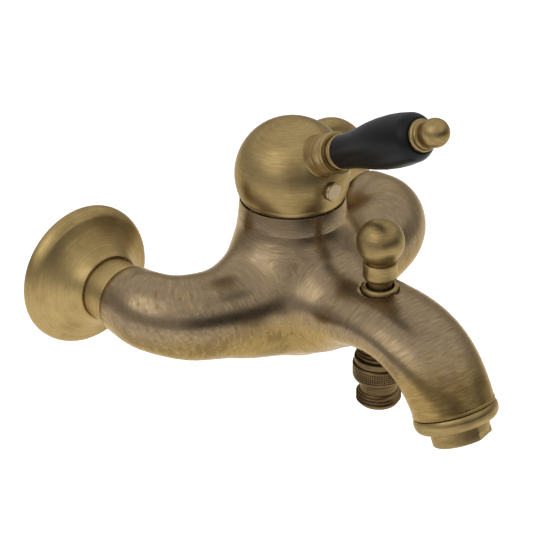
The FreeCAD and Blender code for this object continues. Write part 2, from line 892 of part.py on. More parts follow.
keep(less("slider", joined("slider_solid", [
    rod("slider_plate", size["slider_radius"], size["slider_height"], y=moving_y, z=slider_low),
    rod("slider_collar", size["slider_collar_radius"],
        size["slider_height"] + size["slider_collar_height"], z=slider_low, **head),
]), [rod("slider_hole", tip_hole, size["slider_height"] + size["slider_collar_height"],
         z=slider_top - size["slider_pocket"], **head)]), "disc_slider")

carrier_top = size["pivot_z"] + size["carrier_rise"]
carrier_solid = joined("carrier_solid", [
    rod("carrier_flange", size["housing_inner"] - running, size["carrier_flange_height"],
        z=flange_low, **head),
    rod("carrier_drum", size["carrier_radius"], carrier_top - flange_low, z=flange_low, **head),
])
slot = size["carrier_slot"]
window = size["carrier_window_front"] + size["carrier_slot_back"]
window_y = (size["carrier_slot_back"] - size["carrier_window_front"]) / 2 - size["cap_y"]
reach = size["carrier_radius"] * 2
front_y = size["carrier_slot_back"] - reach / 2 - size["cap_y"]
keep(less("carrier", carrier_solid, [
    block("carrier_window", slot, window, carrier_top - flange_low, 0, window_y, flange_low - over),
    block("carrier_front_slot", slot, reach, carrier_top - flange_top, 0, front_y,
          flange_top + size["carrier_sill"]),
    block("carrier_top_slot", slot, reach, size["carrier_rise"] * 2, 0, -size["cap_y"],
          size["pivot_z"] - size["stem_tip_radius"]),
    cross_rod("carrier_pin_hole", size["pin_radius"] + play, reach, -size["carrier_radius"],
              -size["cap_y"], size["pivot_z"]),
]), "cartridge_carrier")
pin_half = leg(size["carrier_radius"], size["pin_radius"]) - play
keep(cross_rod("pin", size["pin_radius"], pin_half * 2, -pin_half, -size["cap_y"], size["pivot_z"]),
     "pivot_pin")

tip_z = size["pivot_z"] - size["stem_drop"]
stem_bottom = tip_z - size["stem_tip_radius"]
neck_start = tip_z + leg(size["stem_tip_radius"], size["stem_neck_radius"])
keep(less("stem", turned("stem_turned", [
    (0, stem_bottom),
    (size["stem_neck_radius"], neck_start, size["stem_tip_radius"]),
    (size["stem_neck_radius"], tip_z + size["stem_neck_top"]),
    (size["stem_radius"], tip_z + size["stem_cone_top"]),
    (size["stem_radius"], size["pivot_z"] + size["stem_rise"]),
    (0, size["pivot_z"] + size["stem_rise"]),
], **head), [cross_rod("stem_pin_hole", size["pin_radius"] + play, reach, -size["carrier_radius"],
                       -size["cap_y"], size["pivot_z"])]), "cartridge_stem")
nut_outer = size["neck_bore_radius"] - play
nut_top = shoulder + size["ring_nut_height"]
notch = size["ring_nut_notch"]
keep(less("ring_nut", turned("ring_nut_turned", ring_outline(
    size["housing_top_radius"] + play * 2, nut_outer, shoulder, nut_top), **head), [
        block("notch_across", nut_outer * 3, notch, notch, 0, -size["cap_y"], nut_top - notch / 2),
        block("notch_along", notch, nut_outer * 3, notch, 0, -size["cap_y"], nut_top - notch / 2),
    ]), "cartridge_nut")

# The cap: a ball about the pivot, with the hub for the lever and bosses inside

cap_radius = size["cap_radius"]
cap_inner = cap_radius - size["cap_wall"]
edge_drop = size["cap_edge_drop"]
at_pivot = {"y": -size["cap_y"], "z": size["pivot_z"]}
tilt = quarter_turn - size["lever_angle"]
on_lever = {"y": -size["cap_y"], "z": size["pivot_z"] + size["lever_root"], "turn": tilt}
to_front = {"y": -size["cap_y"], "z": size["pivot_z"], "turn": quarter_turn}
shell = less("cap_shell", joined("cap_outside", [
    turned("cap_ball", [
        (0, -edge_drop),
        (leg(cap_radius, edge_drop), -edge_drop),
        (cap_radius, 0, cap_radius),
        (0, cap_radius, cap_radius),
    ], **at_pivot),
    turned("hub", peg_outline(size["hub_radius"], size["hub_start"], size["hub_end"]), **on_lever),
]), [turned("cap_inside", [
    (0, -edge_drop - over),
    (leg(cap_inner, edge_drop), -edge_drop - over),
    (leg(cap_inner, edge_drop), -edge_drop),
    (cap_inner, 0, cap_inner),
    (0, cap_inner, cap_inner),
], **at_pivot)])
stem_boss_low = size["stem_boss_rise"]
keep(less("cap", joined("cap_solid", [
    shell,
    turned("stem_boss", [
        (0, stem_boss_low),
        (size["stem_boss_radius"], stem_boss_low),
        (size["stem_boss_radius"], leg(cap_inner + play, size["stem_boss_radius"])),
        (0, cap_inner + play, cap_inner + play),
    ], **at_pivot),
    turned("screw_boss", [
        (0, size["screw_boss_start"]),
        (size["screw_boss_radius"], size["screw_boss_start"]),
        (size["screw_boss_radius"], leg(cap_inner + play, size["screw_boss_radius"])),
        (0, cap_inner + play, cap_inner + play),
    ], **to_front),
]), [
    rod("stem_socket", size["stem_radius"] + play, size["stem_rise"] + play, **at_pivot),
    turned("screw_hole", [
        (0, size["screw_boss_start"] - over),
        (size["screw_radius"] + play, size["screw_boss_start"] - over),
        (size["screw_radius"] + play, size["plug_stem_end"]),
        (size["plug_stem_radius"] + play, size["plug_stem_end"]),
        (size["plug_stem_radius"] + play, size["plug_seat"]),
        (size["plug_radius"] + play, size["plug_seat"]),
        (size["plug_radius"] + play, cap_radius + over),
        (0, cap_radius + over),
    ], **to_front),
    turned("rod_hole", peg_outline(size["rod_radius"] + play, size["rod_start"] - play,
                                   size["hub_end"] + over), **on_lever),
    turned("hub_hollow", peg_outline(size["collar_radius"] + play * 2, size["hub_end"] - size["hub_recess"],
                                     size["hub_end"] + over), **on_lever),
]), "cap_dome")

ring_low = edge_drop + size["cap_ring_height"]
ring_bore = cap_radius - size["cap_ring_depth"]
spigot = cap_inner - play
spigot_top = edge_drop - size["cap_spigot_height"]
keep(turned("ring", [
    (ring_bore, -ring_low),
    (leg(cap_radius, ring_low), -ring_low),
    (leg(cap_radius, edge_drop), -edge_drop, cap_radius),
    (leg(spigot, edge_drop), -edge_drop),
    (leg(spigot, spigot_top), -spigot_top, spigot),
    (leg(spigot, spigot_top) - size["cap_spigot_wall"], -spigot_top),
    (ring_bore, -edge_drop),
], **at_pivot), "cap_ring")
plug_top = size["plug_seat"] + size["plug_thickness"]
keep(turned("plug", [
    (0, size["plug_stem_end"]),
    (size["plug_stem_radius"], size["plug_stem_end"]),
    (size["plug_stem_radius"], size["plug_seat"]),
    (size["plug_radius"], size["plug_seat"]),
    (size["plug_radius"], plug_top - size["plug_edge"]),
    (size["plug_radius"] - size["plug_edge"], plug_top, size["plug_edge"]),
    (0, plug_top),
], **to_front), "index_plug")
screw_start = size["stem_radius"] + play
keep(turned("screw", peg_outline(size["screw_radius"], screw_start, screw_start + size["screw_length"]),
            **to_front), "cap_screw")

# The lever: collar, handle, ferrule and finial on one rod

rod_hole = size["rod_radius"] + play
collar_start = size["hub_end"] - size["hub_recess"]
handle_start = collar_start + size["collar_length"]
handle_end = handle_start + size["handle_length"]
ferrule_end = handle_end + size["ferrule_length"]
collar_ring = collar_start + size["collar_step"]
keep(turned("collar", [
    (rod_hole, collar_start),
    (size["collar_radius"], collar_start),
    (size["collar_radius"], collar_ring),
    (size["collar_ring_radius"], collar_ring),
    (size["collar_ring_radius"], handle_start),
    (rod_hole, handle_start),
], **on_lever), "lever_collar")
keep(turned("handle", [
    (rod_hole, handle_start),
    (size["handle_start_radius"], handle_start),
    (size["handle_start_radius"] + size["handle_edge"], handle_start + size["handle_edge"],
     size["handle_edge"]),
    (size["handle_waist_radius"], handle_start + size["handle_waist_at"], -size["handle_hollow"]),
    (size["handle_widest"], handle_start + size["handle_widest_at"], size["handle_swell"]),
    (size["handle_shoulder"], handle_start + size["handle_shoulder_at"], size["handle_taper"]),
    (size["handle_end_radius"], handle_end, size["handle_end_curve"]),
    (rod_hole, handle_end),
], **on_lever), "lever_handle")
keep(turned("ferrule", [
    (rod_hole, handle_end),
    (size["ferrule_radius"], handle_end),
    (size["ferrule_radius"], handle_end + size["ferrule_step"]),
    (size["ferrule_step_radius"], handle_end + size["ferrule_step"]),
    (size["ferrule_step_radius"], ferrule_end),
    (rod_hole, ferrule_end),
], **on_lever), "handle_ferrule")
finial_foot = ferrule_end + size["finial_foot_length"]
finial_centre = finial_foot + leg(size["finial_radius"], size["finial_foot"])
rod_end = finial_centre - size["rod_setback"]
keep(turned("finial", [
    (rod_hole, ferrule_end),
    (size["finial_foot"], ferrule_end),
    (size["finial_foot"], finial_foot),
    (size["finial_radius"], finial_centre, size["finial_radius"]),
    (0, finial_centre + size["finial_radius"], size["finial_radius"]),
    (0, rod_end + play),
    (rod_hole, rod_end + play),
], **on_lever), "lever_finial")
keep(turned("rod", peg_outline(size["rod_radius"], size["rod_start"], rod_end), **on_lever), "lever_rod")

# The diverter: knob, bushing, spindle and the valve disc between two washers

spindle_hole = size["spindle_radius"] + play
ball_z = size["knob_ball_z"]
groove_top = ball_z - size["knob_ball_foot"]
groove_radius = leg(size["knob_ball_radius"], size["knob_ball_foot"])
collar_top = groove_top - size["knob_groove"]
collar_low = collar_top - size["knob_collar_height"]
keep(turned("knob", [
    (0, size["spindle_top"] + play),
    (spindle_hole, size["spindle_top"] + play),
    (spindle_hole, size["knob_neck_bottom"]),
    (size["knob_neck_radius"], size["knob_neck_bottom"]),
    (size["knob_neck_radius"], collar_low),
    (size["knob_collar_radius"], collar_low + size["knob_collar_round"], size["knob_collar_round"]),
    (size["knob_collar_radius"], collar_top - size["knob_collar_edge"]),
    (size["knob_collar_radius"] - size["knob_collar_edge"], collar_top, size["knob_collar_edge"]),
    (groove_radius, collar_top),
    (groove_radius, groove_top),
    (size["knob_ball_radius"], ball_z, size["knob_ball_radius"]),
    (0, ball_z + size["knob_ball_radius"], size["knob_ball_radius"]),
], **on_diverter), "diverter_knob")
floor_top = size["bushing_bottom"] + size["bushing_floor"]
keep(turned("bushing", [
    (spindle_hole, size["bushing_bottom"]),
    (size["bushing_thread_radius"], size["bushing_bottom"]),
    (size["bushing_thread_radius"], size["bushing_seat"]),
    (size["bushing_radius"], size["bushing_seat"]),
    (size["bushing_radius"], size["bushing_top"] - size["bushing_edge"]),
    (size["bushing_radius"] - size["bushing_edge"], size["bushing_top"], size["bushing_edge"]),
    (size["bushing_hole"], size["bushing_top"]),
    (size["bushing_hole"], floor_top),
    (spindle_hole, floor_top),
    (spindle_hole, size["seal_groove_high"]),
    (size["seal_groove_radius"], size["seal_groove_high"]),
    (size["seal_groove_radius"], size["seal_groove_low"]),
    (spindle_hole, size["seal_groove_low"]),
], **on_diverter), "diverter_bushing")
keep(turned("spindle_ring", ring_outline(
    spindle_hole, size["seal_groove_radius"] - play, size["seal_groove_low"] + play,
    size["seal_groove_high"] - play), **on_diverter), "spindle_seal")
spindle_low = valve_low - size["valve_nut_height"] - play
keep(turned("spindle", [
    (0, spindle_low),
    (size["spindle_radius"], spindle_low),
    (size["spindle_radius"], stack_top),
    (size["spindle_collar_radius"], stack_top),
    (size["spindle_collar_radius"], stack_top + size["spindle_collar_height"]),
    (size["spindle_radius"], stack_top + size["spindle_collar_height"]),
    (size["spindle_radius"], size["spindle_top"]),
    (0, size["spindle_top"]),
], **on_diverter), "diverter_spindle")
STACK = (
    ("lower_washer", size["washer_radius"], valve_low, disc_low),
    ("valve_disc", size["valve_disc_radius"], disc_low, upper_low),
    ("upper_washer", size["washer_radius"], upper_low, stack_top),
)
for node, radius, low, high in STACK:
    keep(turned(node + "_turned", ring_outline(spindle_hole, radius, low, high), **on_diverter), node)
hexagon = doc.addObject("Part::Prism", "nut_blank")
hexagon.Polygon = HEXAGON
hexagon.setExpression("Circumradius", size["valve_nut_radius"].text)
hexagon.setExpression("Height", size["valve_nut_height"].text)
place(hexagon, y=-size["diverter_y"], z=valve_low - size["valve_nut_height"])
keep(less("valve_nut_cut", hexagon, [
    rod("valve_nut_hole", spindle_hole, size["valve_nut_height"] + over * 2,
        z=valve_low - size["valve_nut_height"] - over, **on_diverter)]), "valve_nut")

# The outlet: nipple, check valve, coupling and tail

nipple_tip = size["nipple_tip_radius"]
keep(turned("nipple", [
    (size["nipple_bore"], size["nipple_end"]),
    (nipple_tip, size["nipple_end"]),
    (nipple_tip, size["nipple_band_end"]),
    (size["nipple_band_radius"], size["nipple_band_end"]),
    (size["nipple_band_radius"], size["nipple_thread_end"]),
    (size["nipple_radius"], size["nipple_thread_end"]),
    (size["nipple_radius"], size["outlet_seat_z"]),
    (size["nipple_bore"], size["outlet_seat_z"]),
], **on_diverter), "outlet_nipple")
seal_low = size["nipple_end"] - size["seal_thickness"]
outlet_flange_low = seal_low - size["outlet_flange_thickness"]
coupling_bore = nipple_tip + play
neck_hole = size["outlet_neck_radius"] + play
keep(turned("coupling", [
    (neck_hole, size["coupling_end"]),
    (size["coupling_end_radius"], size["coupling_end"]),
    (size["coupling_radius"], size["coupling_knurl_end"], size["coupling_round"]),
    (size["coupling_radius"], size["nipple_band_end"] - play),
    (coupling_bore, size["nipple_band_end"] - play),
    (coupling_bore, outlet_flange_low),
    (neck_hole, outlet_flange_low),
], **on_diverter), "check_coupling")
keep(turned("outlet_ring", ring_outline(
    size["nipple_bore"], size["outlet_flange_radius"], seal_low, size["nipple_end"]),
    **on_diverter), "outlet_seal")
keep(turned("outlet_tail_turned", [
    (size["outlet_bore"], size["outlet_end"]),
    (size["outlet_thread_radius"], size["outlet_end"]),
    (size["outlet_thread_radius"], size["outlet_thread_top"]),
    (size["outlet_neck_radius"], size["outlet_thread_top"]),
    (size["outlet_neck_radius"], outlet_flange_low),
    (size["outlet_flange_radius"], outlet_flange_low),
    (size["outlet_flange_radius"], seal_low),
    (size["outlet_bore"], seal_low),
], **on_diverter), "outlet_tail")

check_seat = size["check_top"] - size["check_seat_height"]
check_outer = size["nipple_bore"] - play
check_inner = check_outer - size["check_wall"]
check_floor_top = size["nipple_end"] + size["check_floor"]
flow_hole_length = size["check_floor"] + over * 2
flow_hole_low = size["nipple_end"] - over
flow_holes = [rod("poppet_guide", size["poppet_stem"] + running, flow_hole_length,
                  z=flow_hole_low, **on_diverter)]
for index in range(FLOW_HOLES):
    angle = 2 * math.pi * index / FLOW_HOLES
    x = math.cos(angle) * size["check_flow_reach"]
    y = math.sin(angle) * size["check_flow_reach"]
    flow_holes.append(rod(f"flow_hole_{index}", size["check_flow_hole"], flow_hole_length,
                          x=x, y=y - size["diverter_y"], z=flow_hole_low))
keep(less("check_cage", turned("check_turned", [
    (0, size["nipple_end"]),
    (check_outer, size["nipple_end"]),
    (check_outer, size["check_top"]),
    (size["check_hole"], size["check_top"]),
    (size["check_hole"], check_seat),
    (check_inner, check_seat),
    (check_inner, check_floor_top),
    (0, check_floor_top),
], **on_diverter), flow_holes), "check_housing")
poppet_top = check_seat - size["valve_play"]
poppet_low = poppet_top - size["poppet_height"]
keep(turned("poppet", [
    (0, size["nipple_end"]),
    (size["poppet_stem"], size["nipple_end"]),
    (size["poppet_stem"], poppet_low),
    (size["poppet_radius"], poppet_low),
    (size["poppet_radius"], poppet_top),
    (0, poppet_top),
], **on_diverter), "check_poppet")
wire = number["spring_wire"]
spring_low = check_floor_top.number + wire
spring_length = poppet_low.number - wire - spring_low
coil = Part.makeHelix(spring_length / number["spring_coils"], spring_length, number["spring_radius"])
section = Part.makePolygon([
    Vector(number["spring_radius"] + wire * math.cos(angle), 0, wire * math.sin(angle))
    for angle in (2 * math.pi * corner / HEXAGON for corner in range(HEXAGON + 1))
])
spring = solid("spring", Part.Wire(coil.Edges).makePipeShell([section], True, True))
spring.Placement = Placement(Vector(0, -number["diverter_y"], spring_low), Rotation())
keep(spring, "check_spring")

# The mouth of the spout: ring, aerator sleeve, insert, screen and washer

ring_top = -size["spout_ring_gap"]
ring_foot = ring_top - size["spout_ring_length"]
keep(turned("spout_band", [
    (size["aerator_radius"] + play, ring_foot),
    (size["spout_ring_foot_radius"], ring_foot),
    (size["spout_ring_top_radius"], ring_top, size["spout_ring_curve"]),
    (size["aerator_radius"] + play, ring_top),
], **mouth_place), "spout_ring")
sleeve_low = -size["aerator_length"]
sleeve_high = size["spout_thread_depth"] - size["valve_play"]
sleeve = turned("sleeve", [
    (size["aerator_lip_radius"], sleeve_low),
    (size["aerator_radius"], sleeve_low),
    (size["aerator_radius"], ring_top),
    (size["spout_bore_radius"] - play, ring_top + play),
    (size["spout_bore_radius"] - play, sleeve_high),
    (size["aerator_bore"], sleeve_high),
    (size["aerator_bore"], sleeve_low + size["aerator_lip"]),
    (size["aerator_lip_radius"], sleeve_low + size["aerator_lip"]),
])
flats = []
wide = size["aerator_radius"] * 2
flat_middle = size["wrench_flat"] + size["wrench_flat"] / 2
for index, flat_y in enumerate((flat_middle, -flat_middle)):
    flats.append(block(f"flat_{index}", wide, size["wrench_flat"], size["wrench_flat_height"] + over,
                       0, flat_y, sleeve_low - over))
turned_flats = joined("wrench_flats", flats)
turned_flats.Placement = Placement(Vector(), Rotation(UP, number["wrench_flat_turn"]))
keep(place(less("aerator", sleeve, [turned_flats]), **mouth_place), "aerator_housing")
insert_low = sleeve_low + size["aerator_lip"]
insert_high = insert_low + size["insert_height"]
insert_outer = size["aerator_bore"] - play
lip_high = insert_low + size["insert_lip"]
keep(turned("insert", [
    (size["insert_lip_radius"], insert_low),
    (insert_outer, insert_low),
    (insert_outer, insert_high),
    (0, insert_high),
    (0, insert_high - size["insert_plate"]),
    (size["insert_bore"], insert_high - size["insert_plate"]),
    (size["insert_bore"], lip_high),
    (size["insert_lip_radius"], lip_high),
], **mouth_place), "aerator_insert")
keep(turned("screen", peg_outline(
    size["insert_bore"] - play, lip_high, lip_high + size["screen_thickness"]), **mouth_place),
    "aerator_screen")
keep(turned("aerator_seal", ring_outline(
    size["aerator_washer_bore"], insert_outer, insert_high, insert_high + size["aerator_washer_height"]),
    **mouth_place), "aerator_washer")

# Check every object and write the nodes

doc.recompute()
for item in doc.Objects:
    if "Invalid" in item.State or "Error" in item.State:
        raise ValueError(f"{item.Label}: {item.State}")
os.makedirs("parts", exist_ok=True)
for node, piece in kept.items():
    if piece.Shape.isNull() or not piece.Shape.isValid():
        raise ValueError(f"{node}: bad shape")
    piece.Shape.exportStep(f"parts/{node}.step")
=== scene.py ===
"""A wall-mounted bath mixer in brushed antique brass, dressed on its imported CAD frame."""

import json
import logging
import math
from dataclasses import dataclass
from enum import Enum
from typing import Callable

import bpy
import numpy as np
from mathutils import Matrix, Vector
from mathutils.bvhtree import BVHTree
from mathutils.interpolate import poly_3d_calc


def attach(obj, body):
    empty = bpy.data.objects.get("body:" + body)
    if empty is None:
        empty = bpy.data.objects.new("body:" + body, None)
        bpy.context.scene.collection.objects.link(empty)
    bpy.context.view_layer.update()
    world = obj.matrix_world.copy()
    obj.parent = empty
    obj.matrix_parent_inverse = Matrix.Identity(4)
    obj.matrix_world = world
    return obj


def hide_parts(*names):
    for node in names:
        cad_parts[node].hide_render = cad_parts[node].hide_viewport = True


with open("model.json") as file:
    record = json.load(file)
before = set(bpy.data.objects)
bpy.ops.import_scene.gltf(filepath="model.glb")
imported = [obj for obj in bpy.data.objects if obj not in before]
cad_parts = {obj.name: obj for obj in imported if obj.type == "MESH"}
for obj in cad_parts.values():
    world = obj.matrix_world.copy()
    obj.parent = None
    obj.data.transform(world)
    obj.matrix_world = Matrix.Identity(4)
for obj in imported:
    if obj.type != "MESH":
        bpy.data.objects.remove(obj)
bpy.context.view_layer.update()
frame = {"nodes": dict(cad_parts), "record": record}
MM = 0.001
FULL_TURN = 2 * math.pi
ROUND_STEPS = 128
ARC_STEP = math.radians(5)
TOUCHING = MM * 0.001
log = logging.getLogger("bath_mixer")

Colour = tuple[float, float, float]
Point = tuple[float, float, float]
Outline = list[tuple[float, ...]]
Span = tuple[float, float, float, float]


def ramp(value: float, low: float, high: float) -> float:
    """Go evenly from 0 at low to 1 at high, where high may also be the smaller number."""
    return min(max((value - low) / (high - low), 0.0), 1.0)


def fade(value: float, limits: tuple[float, float]) -> float:
    """Give 1 up to the first limit and 0 past the second, with a soft passage between."""
    part = ramp(value, limits[1], limits[0])
    return part * part * (3 - 2 * part)


@dataclass(frozen=True)
class Stand:
    """Where a piece's own axes stand: a point in millimetres and a turn about X."""

    x: float = 0.0
    y: float = 0.0
    z: float = 0.0
    turn: float = 0.0

    def matrix(self) -> Matrix:
        """Give the move from the piece's own axes to the mixer's, in metres."""
        return Matrix.Translation(Vector((self.x, self.y, self.z)) * MM) @ Matrix.Rotation(
            math.radians(self.turn), 4, "X")


WALL_LEFT = Stand(x=-75.0, turn=90.0)
WALL_RIGHT = Stand(x=75.0, turn=90.0)
CAP = Stand(y=-65.2, z=50.3)
CAP_FRONT = Stand(y=-65.2, z=50.3, turn=90.0)
LEVER = Stand(y=-65.2, z=55.6, turn=64.0)
DIVERTER = Stand(y=-123.4)
MOUTH = Stand(y=-170.6, z=-27.2, turn=-23.8)


class Grain(Enum):
    """How the brushing of a brass surface runs."""

    TURNED = "round the piece's own axis"
    ACROSS = "across arms and spout, round the neck"


class NodeSheet:
    """A material's node tree, filled one node at a time."""

    def __init__(self, name: str) -> None:
        """Start an empty material with a Principled shader.

        Args:
            name: the material's name.
        """
        self.material = bpy.data.materials.new(name)
        self.material.use_nodes = True
        self.tree = self.material.node_tree
        self.tree.nodes.clear()
        self.output = self.add("ShaderNodeOutputMaterial")
        self.shader = self.add("ShaderNodeBsdfPrincipled")
        self.join(self.shader.outputs["BSDF"], self.output.inputs["Surface"])

    def add(self, kind: str, **settings: object) -> bpy.types.Node:
        """Add a node.

        Args:
            kind: Blender's name of the node type.
            settings: attributes of the node, or values of inputs given as in_NAME.

        Returns:
            The new node.
        """
        node = self.tree.nodes.new(kind)
        for key, value in settings.items():
            if key.startswith("in_"):
                node.inputs[key[3:].replace("_", " ")].default_value = value
            else:
                setattr(node, key, value)
        return node

    def join(self, start: bpy.types.NodeSocket, end: bpy.types.NodeSocket) -> None:
        """Link one socket to another."""
        self.tree.links.new(start, end)

    def feed(self, value: object, end: bpy.types.NodeSocket) -> None:
        """Link a socket to an input, or set the input to a number or a colour."""
        if isinstance(value, bpy.types.NodeSocket):
            self.join(value, end)
        elif value is not None:
            end.default_value = (*value, 1.0) if isinstance(value, tuple) else value

    def number(self, operation: str, first: object, second: object = None) -> bpy.types.NodeSocket:
        """Work out one number from one or two.

        Args:
            operation: Blender's name of the operation.
            first: a number or a socket.
            second: a number or a socket, where the operation takes two.

        Returns:
            The result's socket.
        """
        node = self.add("ShaderNodeMath", operation=operation)
        for value, socket in zip((first, second), node.inputs):
            self.feed(value, socket)
        return node.outputs[0]

    def axes(self, vector: bpy.types.NodeSocket) -> list[bpy.types.NodeSocket]:
        """Take a vector apart into its three numbers."""
        apart = self.add("ShaderNodeSeparateXYZ")
        self.join(vector, apart.inputs[0])
        return list(apart.outputs)

    def bump(self, height: bpy.types.NodeSocket, strength: float, depth: float) -> None:
        """Raise the shader's surface by a pattern, at most by a depth in metres."""
        node = self.add("ShaderNodeBump", in_Strength=strength, in_Distance=depth)
        self.join(height, node.inputs["Height"])
        self.join(node.outputs["Normal"], self.shader.inputs["Normal"])

    def place(self, stand: Stand) -> bpy.types.NodeSocket:
        """Give the object coordinate in a stand's own axes, in millimetres.

        Args:
            stand: the axes that the pattern follows.

        Returns:
            The vector socket.
        """
        back = stand.matrix().inverted()
        coordinate = self.add("ShaderNodeTexCoord")
        mapping = self.add("ShaderNodeMapping")
        mapping.inputs["Location"].default_value = back.to_translation() / MM
        mapping.inputs["Rotation"].default_value = back.to_euler()
        mapping.inputs["Scale"].default_value = (1 / MM,) * 3
        self.join(coordinate.outputs["Object"], mapping.inputs["Vector"])
        return mapping.outputs["Vector"]

    def stretch(self, vector: bpy.types.NodeSocket, scale: Point) -> bpy.types.NodeSocket:
        """Scale a vector axis by axis.

        Args:
            vector: the vector socket.
            scale: the factor of each axis.

        Returns:
            The scaled vector's socket.
        """
        node = self.add("ShaderNodeVectorMath", operation="MULTIPLY")
        self.join(vector, node.inputs[0])
        node.inputs[1].default_value = scale
        return node.outputs[0]

    def noise(self, vector: bpy.types.NodeSocket, scale: float, detail: float = 2.0,
              roughness: float = 0.5) -> bpy.types.NodeSocket:
        """Read noise at a vector.

        Args:
            vector: where it is read.
            scale: cells per unit of the vector.
            detail: octaves.
            roughness: weight of the finer octaves.

        Returns:
            The noise's value socket.
        """
        node = self.add("ShaderNodeTexNoise", in_Scale=scale, in_Detail=detail, in_Roughness=roughness)
        self.join(vector, node.inputs["Vector"])
        return node.outputs["Fac"]

    def spread(self, value: bpy.types.NodeSocket, low: float, high: float,
               start: float = 0.0, end: float = 1.0) -> bpy.types.NodeSocket:
        """Map a value from low..high onto start..end, with soft ends.

        Args:
            value: the socket to map.
            low: the value that gives start.
            high: the value that gives end.
            start: the result at low.
            end: the result at high.

        Returns:
            The mapped socket.
        """
        node = self.add("ShaderNodeMapRange", interpolation_type="SMOOTHSTEP")
        node.inputs["From Min"].default_value = low
        node.inputs["From Max"].default_value = high
        node.inputs["To Min"].default_value = start
        node.inputs["To Max"].default_value = end
        self.join(value, node.inputs["Value"])
        return node.outputs["Result"]

    def mix(self, share: object, first: object, second: object) -> bpy.types.NodeSocket:
        """Mix two colours by a share.

        Args:
            share: the second colour's share, a number or a socket.
            first: a colour or a socket.
            second: a colour or a socket.

        Returns:
            The colour socket.
        """
        node = self.add("ShaderNodeMix", data_type="RGBA")
        for value, name in ((share, "Factor"), (first, 6), (second, 7)):
            self.feed(value, node.inputs[name])
        return node.outputs[2]


